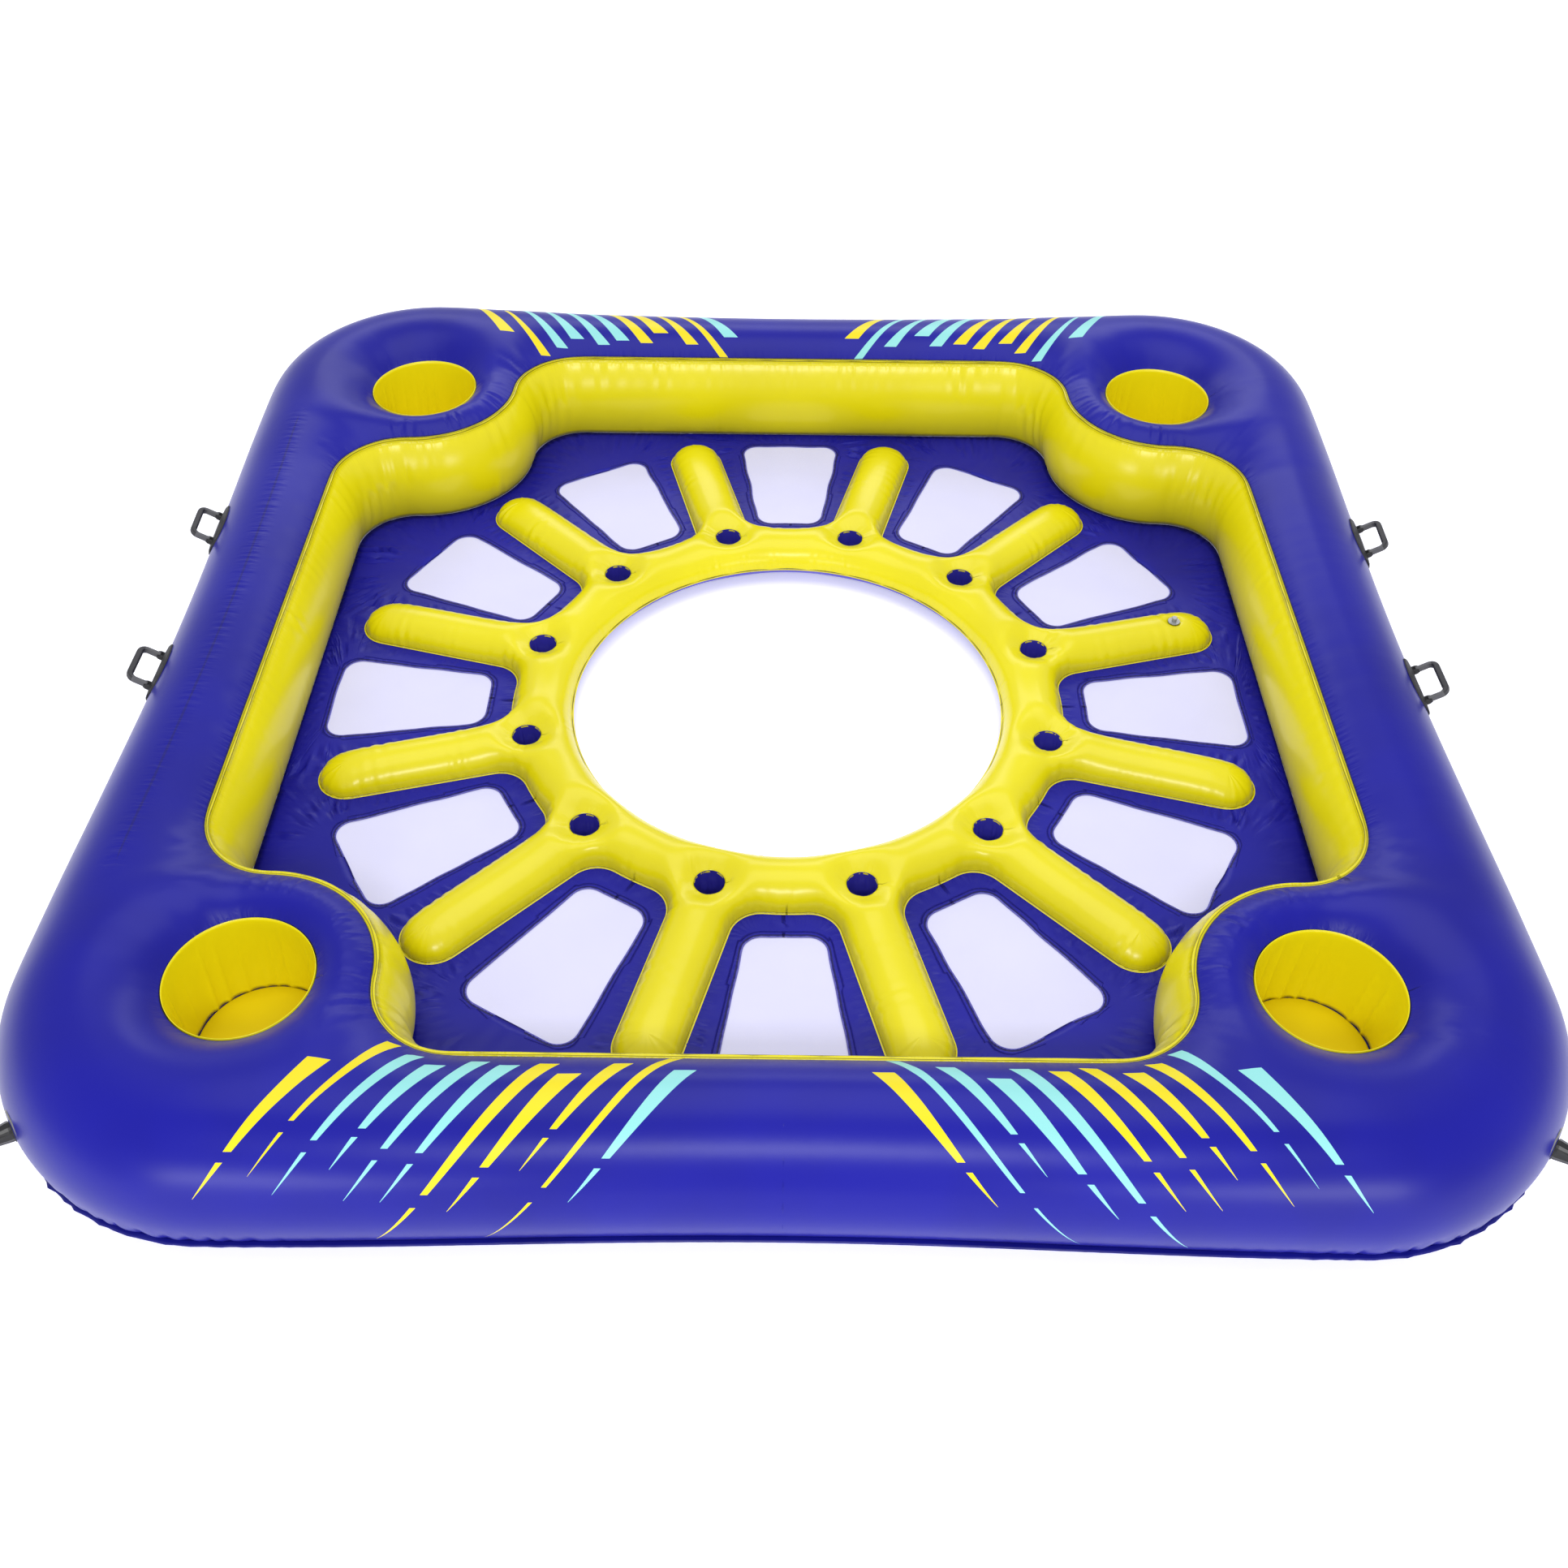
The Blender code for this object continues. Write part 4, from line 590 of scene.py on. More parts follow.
def sideLines(straight, turns):
    # Crown, outward, seam, seam-outward and lift along the right side, from front to back
    start, corner, full = plan["filletStart"], plan["cornerStart"], math.radians(plan["filletTurn"])
    ends = np.arange(1, turns + 1) / turns
    middle = np.linspace(-start, start, straight + 1)
    beyond = start + (corner - start) * ends
    along = np.concatenate([-beyond[::-1], middle, beyond])
    turn = np.concatenate([-ends[::-1], np.zeros(straight + 1), ends]) * full
    crown = np.stack([plan["tubeLine"] - waistAt(along), along], 1)
    out = np.tile([1.0, 0.0], (len(along), 1))
    seam = np.stack([plan["coolerOffset"] + plan["fillet"] * np.cos(turn), along], 1)
    bent = np.abs(turn) > 0
    seam[bent, 1] = np.sign(turn[bent]) * start + plan["fillet"] * np.sin(turn[bent])
    return crown, out, seam, rays(turn), 0.5 * plan["cornerLift"] * np.abs(turn) / full


def cornerCrown(run, arc):
    # Crown, outward and lift round the back right corner
    start, offset, lift = plan["cornerStart"], plan["coolerOffset"], plan["cornerLift"]
    y = np.linspace(start, offset, run + 1)[:-1]
    first = np.stack([plan["tubeLine"] - waistAt(y), y], 1)
    firstLift = lift * (0.5 + 0.5 * smooth((y - start) / (offset - start)))
    bendOut = rays(np.linspace(0, 0.5 * math.pi, arc + 1))
    bend = offset + (plan["cornerRadius"] - plan["tubeRadius"]) * bendOut
    crown = np.vstack([first, bend, first[::-1, ::-1]])
    out = np.vstack([np.tile([1.0, 0.0], (run, 1)), bendOut, np.tile([0.0, 1.0], (run, 1))])
    return crown, out, np.concatenate([firstLift, np.full(arc + 1, lift), firstLift[::-1]])


def cornerSeam(turns, arc):
    # The inner top seam past the back right nose, from the right side to the back
    turned = plan["filletTurn"]
    firstOut = rays(np.radians(turned + (90.0 - turned) * np.arange(turns) / turns))
    first = np.array([plan["coolerOffset"], plan["filletStart"]]) + plan["fillet"] * firstOut
    noseIn = rays(np.linspace(1.5 * math.pi, math.pi, arc + 1))
    nose = plan["coolerOffset"] + plan["noseRadius"] * noseIn
    seam = np.vstack([first, nose, first[::-1, ::-1]])
    return seam, np.vstack([firstOut, -noseIn, firstOut[::-1, ::-1]])


def tubeRow(crown, out, lift, degrees):
    angle = math.radians(degrees)
    radius = plan["tubeRadius"]
    plane = crown + out * (radius * math.cos(angle))
    height = plan["tubeHeight"] + (radius + max(math.sin(angle), 0.0) * lift) * math.sin(angle)
    return np.column_stack([plane, np.broadcast_to(height, len(plane))])


def allRound(side, corner):
    # Lines of a side and a corner, four times round the raft
    made = []
    for lines in zip(side, corner):
        parts = [line[:-1] for line in lines]
        if parts[0].ndim > 1:
            made.append(np.vstack([quarterTurn(part, quarter) for quarter in range(4) for part in parts]))
        else:
            made.append(np.tile(np.concatenate(parts), 4))
    return made


def aroundAll(straight, turns, run, arc):
    crown, out, _, _, lift = sideLines(straight, turns)
    return allRound((crown, out, lift), cornerCrown(run, arc))


def seamAll(straight, turns, nose, arc):
    _, _, seam, seamOut, _ = sideLines(straight, turns)
    return allRound((seam, seamOut), cornerSeam(nose, arc))


def coolerCentre(quarter):
    return quarterTurn(np.array([[plan["coolerOffset"]] * 2]), quarter)[0]


def circleLike(points, centre, radius, height):
    # As many points on a circle as the boundary has, spread by its length
    steps = np.linalg.norm(np.roll(points[:, :2], -1, 0) - points[:, :2], axis=1)
    run = np.concatenate([[0.0], np.cumsum(steps)[:-1]]) / steps.sum()
    start = math.atan2(points[0, 1] - centre[1], points[0, 0] - centre[0])
    return level(centre + radius * rays(start + 2 * math.pi * run), height)


# The inflated ring: one closed body with the four wells' mouths

ringShape = {
    "straight": 16, "turns": 4, "run": 5, "arc": 20, "noseTurns": 3, "nose": 18, "innerRows": 4,
    "wellRows": 7, "tubeRows": 10, "lip": 0.0052, "roll": 0.024, "behindWall": 0.004, "contact": 0.032,
    "levels": 2, "load": 7.5, "noseLoad": 11.0, "tuck": (-38.0, -52.0, -66.0), "sag": -0.0264,
    "lowRows": (0.66, 0.33, 0.0), "discs": (0.164, 0.080), "discHeight": 0.0605,
    "wallHead": 0.2875, "wallRows": (0.08, 0.35, 0.65, 1.0), "merge": 0.0004, "mouthWeld": 0.005,
    # Down a cooler's mouth: past its radius, and how far below its rim or at what height
    "rimRows": ((0.0016, 0.0022), (0.0004, 0.0060), (0.0012, 0.012), (0.0035, 0.024)),
    "pocketRows": (
        (0.0035, 0.17), (0.0035, 0.080), (0.0035, 0.0680), (0.0035, 0.0655), (-0.010, 0.0650), (-0.086, 0.0650),
    ),
    # Folds: wavelength, reach, depth and seed
    "headFolds": (0.075, 0.045, 0.0010, 11), "ridges": (0.024, 0.026, 0.0026, 13),
    "mouthFolds": (0.070, 0.040, 0.0010, 31), "lump": (0.041, 0.055, 0.0209, 23),
    # The lumps' unevenness, roundness and mean, and where they and the ridges are full or faint
    "scallop": (0.30, 4.0, 0.65, 0.6), "lumpCorner": (0.80, 0.35), "lumpFront": (1.2, 0.30), "leastLump": 0.05,
    "ridgeCorner": (0.62, 0.15), "leastRidge": 0.03, "lumpEase": 1.4,
    # Points of the welds' lines
    "crownPoints": (40, 6, 6, 24), "seamPoints": (40, 6, 4, 24), "mouthPoints": 60,
}
# The corner skins are solved inside these bounds, about a cooler's axis
cornerShape = {
    "inside": 0.55, "below": 0.0033, "mouth": 0.150, "freeMouth": 0.153, "steadyMouth": 0.158,
    "side": 1.345, "crown": 0.290, "past": 0.001,
}


def innerRows(lines, count):
    crown, _, seam, seamOut, lift = lines
    inner = plan["innerAngle"]
    rows = []
    for share in np.arange(count + 1) / count:
        angle = math.radians(90.0 + (inner - 90.0) * share)
        full = math.cos(angle) / math.cos(math.radians(inner))
        plane = crown + (seam + seamOut * plan["seamLap"] - crown) * full
        height = plan["tubeHeight"] + (plan["tubeRadius"] + lift * (1.0 - share)) * math.sin(angle)
        rows.append(level(plane, height))
    return rows


def underRows(lines, count):
    crown, out, seam, seamOut, _ = lines
    foot = seam - seamOut * (plan["wallLean"] - ringShape["behindWall"])
    start = crown - out * ringShape["contact"]
    return [
        level(start + (foot - start) * share, plan["wallFoot"] * (1.0 - math.cos(0.5 * math.pi * share)))
        for share in np.arange(count + 1) / count
    ]


def cornerRow(boundary, goal, share, swell):
    # A row between a patch's boundary and the circle inside it
    row = goal + (boundary - goal) * share
    climb = np.where(
        boundary[:, 2] > goal[:, 2], math.sin(0.5 * math.pi * share), 1.0 - math.cos(0.5 * math.pi * share)
    )
    row[:, 2] = goal[:, 2] + (boundary[:, 2] - goal[:, 2]) * climb + swell * math.sin(math.pi * share)
    return row


def upperPatch(inner, centre):
    # From a corner's boundary over its skin and down the cooler's mouth
    s, mouth, rimHeight = ringShape, plan["coolerRadius"], plan["coolerRim"]
    crownRow = tubeRow(*cornerCrown(s["run"], s["arc"]), 90.0)
    seam, seamOut = cornerSeam(s["noseTurns"], s["nose"])
    seamRow = level(seam + seamOut * plan["seamLap"], plan["innerSeam"])[::-1]
    nextSide = [quarterTurn(row, 1)[0] for row in inner]
    thisSide = [row[-1] for row in inner]
    boundary = np.vstack([crownRow, nextSide[1:-1], seamRow, thisSide[-2:0:-1]])
    ramp = s["roll"] * np.arange(1, s["innerRows"]) / s["innerRows"]
    swell = np.concatenate([np.zeros(len(crownRow)), ramp, np.full(len(seamRow), s["roll"]), ramp[::-1]])
    rim = circleLike(boundary, centre, mouth + s["lip"], rimHeight)
    patch = [boundary]
    patch += [cornerRow(boundary, rim, share, swell) for share in np.arange(s["wellRows"])[::-1] / s["wellRows"]]
    patch += [circleLike(boundary, centre, mouth + past, rimHeight - down) for past, down in s["rimRows"]]
    patch += [circleLike(boundary, centre, mouth + past, height) for past, height in s["pocketRows"]]
    return patch


def lowerPatch(under, centre):
    # From the flat strip and the wall's foot to a flat disc under the well
    s = ringShape
    crown, out, _ = cornerCrown(s["run"], s["arc"])
    outer = level(crown + out * s["contact"], 0.0)
    seam, seamOut = cornerSeam(s["noseTurns"], s["nose"])
    footRow = level(seam - seamOut * (plan["wallLean"] - s["behindWall"]), plan["wallFoot"])[::-1]
    nextSide = [quarterTurn(row, 1)[0] for row in under[:-1]]
    thisSide = [row[-1] for row in under[:-1]]
    boundary = np.vstack([outer, nextSide, footRow, thisSide[::-1]])
    slope = s["sag"] * np.arange(len(nextSide)) / len(nextSide)
    sag = np.concatenate([np.zeros(len(outer)), slope, np.full(len(footRow), s["sag"]), slope[::-1]])
    disc, core = (circleLike(boundary, centre, radius, s["discHeight"]) for radius in s["discs"])
    return [boundary, *(cornerRow(boundary, disc, share, sag) for share in s["lowRows"]), core]


def ringCage():
    s = ringShape
    bm = bmesh.new()
    crown, out, lift = aroundAll(s["straight"], s["turns"], s["run"], s["arc"])
    rows = [tubeRow(crown, out, lift, angle) for angle in np.linspace(90.0, plan["seamAngle"], s["tubeRows"] + 1)]
    rows += [tubeRow(crown, out, 0.0, angle) for angle in s["tuck"]]
    rows.append(level(crown + out * s["contact"], 0.0))
    skin(bm, rows, True)
    side = sideLines(s["straight"], s["turns"])
    inner, under = innerRows(side, s["innerRows"]), underRows(side, s["innerRows"])
    strip = [level(side[0] + side[1] * s["contact"], 0.0)] + under
    patches = upperPatch(inner, coolerCentre(0)), lowerPatch(under, coolerCentre(0))
    for quarter in range(4):
        for piece in (inner, strip):
            skin(bm, [quarterTurn(row, quarter) for row in piece], False)
        for patch in patches:
            _, last = skin(bm, [quarterTurn(row, quarter) for row in patch], True)
            bmesh.ops.contextual_create(bm, geom=last)
    # The hidden wall behind the yellow one
    seam, seamOut = seamAll(s["straight"], s["turns"], s["noseTurns"], s["nose"])
    behind = [level(seam + seamOut * plan["seamLap"], plan["innerSeam"])]
    for share in s["wallRows"]:
        inwards = plan["wallBulge"] * math.sin(math.pi * share) + plan["wallLean"] * share - s["behindWall"]
        behind.append(level(seam - seamOut * inwards, s["wallHead"] + (plan["wallFoot"] - s["wallHead"]) * share))
    skin(bm, behind, True)
    bmesh.ops.remove_doubles(bm, verts=bm.verts, dist=s["merge"])
    bmesh.ops.recalc_face_normals(bm, faces=bm.faces)
    swellCorners(bm)
    creaseAt(bm, plan["innerSeam"])
    creaseAt(bm, plan["wallFoot"])
    print("ring cage", len(bm.verts), "open edges", sum(not edge.is_manifold for edge in bm.edges))
    return bm


def stiffness(coords, triangles):
    # A flat mesh's stiffness against sagging, and the area that each point carries
    count = len(coords)
    stiff, load = np.zeros((count, count)), np.zeros(count)
    for a, b, c in triangles:
        p = coords[[a, b, c], :2]
        area = 0.5 * ((p[1, 0] - p[0, 0]) * (p[2, 1] - p[0, 1]) - (p[2, 0] - p[0, 0]) * (p[1, 1] - p[0, 1]))
        if abs(area) < tiny["area"]:
            continue
        edge = p[[2, 0, 1]] - p[[1, 2, 0]]
        at = np.array([a, b, c])
        stiff[np.ix_(at, at)] += edge @ edge.T / (4.0 * abs(area))
        load[at] += abs(area) / 3.0
    return stiff, load


def fan(face, number):
    # A face as triangles of the numbered points that it has
    corners = [number[v] for v in face.verts if v in number]
    return {(corners[0], corners[k], corners[k + 1]) for k in range(1, len(corners) - 1)}


def swellCorners(bm):
    # The skin between a cooler's mouth and the crown: an evenly loaded membrane that joins the tube smoothly
    bm.verts.ensure_lookup_table()
    bm.verts.index_update()
    s, offset, seam = cornerShape, plan["coolerOffset"], plan["innerSeam"]
    for sideX, sideY in ((1, 1), (-1, 1), (-1, -1), (1, -1)):
        near, free = [], set()
        for vert in bm.verts:
            x, y = vert.co.x * sideX, vert.co.y * sideY
            gap = math.hypot(x - offset, y - offset)
            if min(x, y) > s["inside"] and vert.co.z > seam - s["below"] and gap > s["mouth"]:
                near.append(vert)
                beyond = math.hypot(max(x - offset, 0.0), max(y - offset, 0.0))
                onSeam = abs(vert.co.z - seam) < tiny["height"]
                inside = max(x, y) < s["side"] and beyond < s["crown"] and min(x, y) > plan["cornerStart"] + s["past"]
                if gap > s["freeMouth"] and inside and not onSeam:
                    free.add(vert)
        number = {vert: k for k, vert in enumerate(near)}
        spots = np.array([list(v.co) for v in near])
        triangles = set().union(*(fan(face, number) for v in free for face in v.link_faces))
        joint = {edge.other_vert(v) for v in free for edge in v.link_edges} - free
        for vert in joint:
            for face in vert.link_faces:
                if all(v in number and v not in free for v in face.verts):
                    triangles |= fan(face, number)
        stiff, load = stiffness(spots, sorted(triangles))
        steady = [
            v for v in joint
            if v in number and abs(v.co.z - seam) > tiny["height"]
            and math.hypot(v.co.x * sideX - offset, v.co.y * sideY - offset) > s["steadyMouth"]
        ]
        columns = np.array([number[v] for v in free])
        rows = np.concatenate([columns, [number[v] for v in steady]]).astype(int)
        inwards = np.array([-sideX, -sideY]) / math.sqrt(2.0)
        away = spots[rows, :2] - offset * np.array([sideX, sideY])
        share = np.clip(away @ inwards / np.linalg.norm(away, axis=1), 0.0, 1.0)
        pull = ringShape["load"] + ringShape["noseLoad"] * share
        weight = 1.0 / np.sqrt(load[rows])
        known = spots[:, 2].copy()
        known[columns] = 0.0
        left = stiff[np.ix_(rows, columns)] * weight[:, None]
        right = (pull * load[rows] - stiff[rows] @ known) * weight
        heights = np.linalg.lstsq(left, right, rcond=None)[0]
        for vert, height in zip(free, heights):
            vert.co.z = float(height)
    print("corner heights", round(float(heights.max()), 4), len(free), len(steady))


def scallop(run, wavelength, seed):
    # Round lumps with tight valleys between them
    uneven, longer, power, mean = ringShape["scallop"]
    course = run / wavelength + uneven * ripple(run, wavelength * longer, seed)
    return np.abs(np.sin(math.pi * course)) ** power - mean


def lumpShare(points, least):
    # The outer weld's lumps are full at the front corners and least along the sides
    far, back = ringShape["lumpFront"]
    front = back + (1.0 - back) * np.clip(-points[:, 1] / far, 0.0, 1.0)
    return least + (1.0 - least) * cornerShare(points, *ringShape["lumpCorner"]) * front


def printCoords(coords):
    # Along x, and down the front or back side from its crown
    down = np.abs(coords[:, 1]) - plan["tubeLine"]
    angle = np.arctan2(down, coords[:, 2] - plan["tubeHeight"])
    return np.stack([coords[:, 0], angle * plan["tubeRadius"]], 1)


def buildRing():
    s = ringShape
    mesh = subdivided(ringCage(), "ringBody", s["levels"])
    coords, normals = vectorsOf(mesh, "co"), vectorsOf(mesh, "normal")
    crown, out, _ = aroundAll(*s["crownPoints"])
    seam, seamOut = seamAll(*s["seamPoints"])
    head = level(seam + seamOut * plan["seamLap"], plan["innerSeam"])
    outer = tubeRow(crown, out, 0.0, plan["seamAngle"])
    curves = [(welds["head"], (head, True)), (welds["outer"], (outer, True))]
    for quarter in range(4):
        circle = circleAt(coolerCentre(quarter), plan["coolerRadius"], s["mouthPoints"])
        curves.append((welds["mouths"] + quarter, (level(circle, plan["coolerRim"] - s["mouthWeld"]), True)))
    # A faint line runs along the crown of the left side
    leftCrown, _, _, _, leftLift = sideLines(*s["crownPoints"][:2])
    line = level(quarterTurn(leftCrown, 2), plan["tubeHeight"] + plan["tubeRadius"] + leftLift)
    curves.append((welds["crown"], (line, False)))
    field = weldField(coords, curves)
    nose, share = cornerShare(coords, *s["ridgeCorner"]), lumpShare(coords, s["leastLump"])
    ridges = pucker(coords, normals, field, s["ridges"], (welds["head"],)) - coords
    coords = pucker(coords, normals, field, s["headFolds"], (welds["head"],))
    coords = coords + ridges * (s["leastRidge"] + (1.0 - s["leastRidge"]) * nose)[:, None]
    # Lumps along the outer weld
    run, gap, kind = field.T
    wavelength, reach, depth, seed = s["lump"]
    away = np.clip(gap / reach, 0.0, 1.0)
    lump = depth * scallop(run, wavelength, seed) * np.sqrt(away) * (1.0 - away) ** s["lumpEase"] * share
    coords = coords + normals * np.where(kind == welds["outer"], lump, 0.0)[:, None]
    mouths = tuple(welds["mouths"] + quarter for quarter in range(4))
    coords = pucker(coords, normals, field, s["mouthFolds"], mouths)
    coords[:, 2] = np.maximum(coords[:, 2], 0.0)
    setCoords(mesh, coords)
    setWeld(mesh, field)
    uv = mesh.uv_layers.new(name="printMap")
    loops = np.empty(len(mesh.loops), dtype=np.int64)
    mesh.loops.foreach_get("vertex_index", loops)
    uv.data.foreach_set("uv", printCoords(coords)[loops].astype(np.float32).ravel())
    made = place(mesh, ["ring"], "raft", "blue_vinyl", "ring_upper_sheet", "ring_lower_back", "ring_lower_front")


# The welded margin that stands out at the outer seam

finShape = {
    "width": 0.015, "thick": 0.0016, "root": 0.004, "sideWave": 0.22, "wave": 0.0036, "droop": 0.001,
    "points": (120, 16, 16, 48), "rows": (0.0, 0.33, 0.66, 1.0), "leastLump": 0.10, "waves": -2.0,
}


def buildFin():
    s = finShape
    crown, out, _ = aroundAll(*s["points"])
    plane = crown + out * (plan["tubeRadius"] * math.cos(math.radians(plan["seamAngle"])) - s["root"])
    wavelength, _, _, seed = ringShape["lump"]
    wave = s["waves"] * scallop(runAlong(plane), wavelength, seed) * lumpShare(plane, s["leastLump"])
    rows = []
    for share in s["rows"]:
        reach = s["width"] * share * (1.0 + s["sideWave"] * wave * share)
        rows.append(level(plane + out * reach[:, None], plan["outerSeam"] + (s["wave"] * wave - s["droop"]) * share))
    thicken(place(skinned("outerSeamFin", rows), ["fin"], "raft", "blue_vinyl"), s["thick"], 0.0)


# The yellow wall of the seating well, with its folded top edge

wallShape = {
    "straight": 150, "turns": 22, "noseTurns": 11, "nose": 54, "rows": 16, "thick": 0.0010, "sagitta": 0.0345,
    "under": 0.0013, "over": 0.0004, "still": 0.009,
    # The folded top edge: how far outside the seam, and how far over the wall's head
    "edge": ((0.008, 0.0005), (0.001, 0.0002), (-0.0022, 0.0016), (-0.0019, 0.0002), (-0.0006, -0.0030)),
    # Folds: wavelength, reach, depth and seed
    "headFolds": (0.034, 0.026, 0.0016, 41), "footFolds": (0.030, 0.022, 0.0014, 43),
    # Creases: wavelength, depth and seed, and where the wall turns
    "creases": (0.055, 0.0040, 47), "bend": (0.42, 0.10), "corner": (0.55, 0.2),
}


def bulgeAt(share, height):
    # How far an arc over the wall's height stands in
    sagitta = wallShape["sagitta"]
    radius = height ** 2 / (8 * sagitta) + 0.5 * sagitta
    return math.sqrt(radius ** 2 - ((share - 0.5) * height) ** 2) - (radius - sagitta)


def buildWall():
    s = wallShape
    seam, seamOut = seamAll(s["straight"], s["turns"], s["noseTurns"], s["nose"])
    head, foot = plan["innerSeam"] - s["under"], plan["floorTop"] + s["over"]
    rows = [level(seam + seamOut * out, head + up) for out, up in s["edge"]]
    for share in np.arange(1, s["rows"] + 1) / s["rows"]:
        inwards = bulgeAt(share, head - foot) + plan["wallLean"] * share
        rows.append(level(seam - seamOut * inwards, head + (foot - head) * share))
    mesh = skinned("wellWall", rows)
    coords, normals = vectorsOf(mesh, "co"), vectorsOf(mesh, "normal")
    if (normals[:, :2] * coords[:, :2]).sum() > 0:
        normals = -normals
    top, low = level(seam, head), level(seam - seamOut * plan["wallLean"], foot)
    field = weldField(coords, [(0, (top, True)), (1, (low, True))])
    nose, flat = cornerShare(coords, *s["corner"]), coords
    coords = pucker(coords, normals, field, s["headFolds"], (0,))
    coords = pucker(coords, normals, field, s["footFolds"], (1,))
    coords = np.where(field[:, 1:2] < s["still"], flat, coords)
    # Upright creases where the wall turns from a side to a nose
    wavelength, depth, seed = s["creases"]
    where, spread = s["bend"]
    middle = np.sin(math.pi * np.clip((head - coords[:, 2]) / (head - foot), 0, 1))
    bend = np.exp(-((np.abs(np.abs(coords[:, 0]) - np.abs(coords[:, 1])) - where) / spread) ** 2)
    crease = depth * ripple(field[:, 0], wavelength, seed) * middle * bend * nose
    setCoords(mesh, coords + normals * crease[:, None])
    setWeld(mesh, field)
    made = place(mesh, ["wall"], "raft", "yellow_vinyl", "well_wall_sheet")
    thicken(made, s["thick"])
    length = float(runAlong(np.vstack([seam, seam[:1]]))[-1])


# The hub with its spokes, inflated between its welds

halfSector = math.pi / plan["spokes"]
spokeTip = plan["spokeReach"] - plan["spokeHalf"]
hubShape = {
    "arc": 5, "fillet": 12, "side": 28, "tip": 12, "rows": 7, "nearRows": 6, "flange": 0.0052,
    "flangeHeights": (0.0474, 0.0468), "edge": 0.0475, "swell": 0.855, "lowEdge": 0.0437, "lowDeep": 0.040,
    "levels": 1, "canRows": (0.024, 0.012, 0.0), "merge": 0.0002, "degenerate": 0.00005, "merged": 0.0003,
    # The skin dips towards a can's rim from this far off, and the rim is a soft hexagon with its lip turned down
    "dip": 0.062, "flat": 0.002, "hexagon": 0.016, "lipDrop": 0.0015, "lipTurn": 0.006, "mouthWeld": 0.003,
    # The small valve: place and height, its dimple, and the pit that its stem goes down
    "valve": (1.00746, 0.26995, 0.0975), "dimple": 0.032, "slope": 0.6, "pit": (0.0125, 0.036),
    # Folds: wavelength, reach, depth and seed
    "wideFolds": (0.026, 0.020, 0.0016, 61), "fineFolds": (0.017, 0.014, 0.0009, 67),
    "canFolds": (0.020, 0.012, 0.0010, 71), "raised": 0.0015,
    # How near a point has to be to a rim, where a margin's side is tried, and points of the welds' circles
    "near": 0.001, "probe": 0.004, "canPoints": 40, "openingPoints": 200,
}


def shares(first, last, count):
    # Even steps from one value towards another, without the last
    return first + (last - first) * np.arange(count) / count


def filletCentre(hub, side, fillet):
    return np.array([math.sqrt((hub + fillet) ** 2 - side ** 2), side])


def spokeOutline(offset=0.0):
    # Half of a spoke's weld in plan, from the sector's edge to the spoke's axis
    s = hubShape
    hub, spoke, fillet = plan["hubRadius"] + offset, plan["spokeHalf"] + offset, plan["spokeFillet"] - offset
    centre = filletCentre(hub, spoke + fillet, fillet)
    start = math.atan2(centre[1], centre[0])
    return np.vstack([
        hub * rays(shares(halfSector, start, s["arc"])),
        centre + fillet * rays(shares(start + math.pi, 1.5 * math.pi, s["fillet"])),
        level(shares(centre[0], spokeTip, s["side"]), spoke),
        np.array([spokeTip, 0.0]) + spoke * rays(np.linspace(0.5 * math.pi, 0.0, s["tip"] + 1)),
    ])


def mirrored(points, first=0):
    # Half an outline with its other half behind it
    return np.vstack([points, points[first:-1][::-1] * np.array([1.0, -1.0])])


def hubHalf():
    # The flat half sector that the heights are solved on, with the can's place as a disc
    s = hubShape
    top = 0.5 * (plan["openingRadius"] + plan["hubRadius"]) * rays(halfSector)
    can, flat = np.array([plan["canCircle"], 0.0]), plan["canRadius"] + plan["canLip"]
    quarter = np.linspace(0.5 * math.pi, 0.0, s["fillet"] + 1)
    lip = can + flat * rays(quarter)
    lead = top + (lip[0] - top) * (np.arange(s["arc"]) / s["arc"])[:, None]
    run = level(np.linspace(lip[-1][0], spokeTip, s["side"] + 1)[1:], 0.0)
    targets = np.vstack([lead, lip, run, np.tile(run[-1:], (s["tip"], 1))])
    nearTargets = np.vstack([lead, np.stack([2 * can[0] - lip[:, 0], lip[:, 1]], 1)])
    inner = plan["openingRadius"] * rays(np.linspace(halfSector, 0.0, len(nearTargets)))
    bm = bmesh.new()
    for edge, goal, count in ((spokeOutline(), targets, s["rows"]), (inner, nearTargets, s["nearRows"])):
        course = 1.0 - np.cos(0.5 * math.pi * np.arange(count + 1) / count)
        skin(bm, [level(edge + (goal - edge) * share, 0.0) for share in course], False)
    ring = rays(np.concatenate([np.linspace(math.pi, 0.5 * math.pi, s["fillet"] + 1), quarter[1:]]))
    skin(bm, [level(can + ring * radius, 0.0) for radius in (flat, plan["canRadius"], *s["canRows"])], False)
    bmesh.ops.remove_doubles(bm, verts=bm.verts, dist=s["merge"])
    bmesh.ops.dissolve_degenerate(bm, dist=s["degenerate"], edges=bm.edges)
    faceUp(bm)
    return bm


def membrane(coords, triangles, fixed):
    # A loaded membrane over a flat mesh: the height squared of an inflated skin follows it
    stiff, load = stiffness(coords, triangles)
    free = np.array([k for k in range(len(coords)) if k not in fixed])
    result = np.zeros(len(coords))
    result[free] = np.linalg.solve(stiff[np.ix_(free, free)], load[free])
    return np.maximum(result, 0.0)


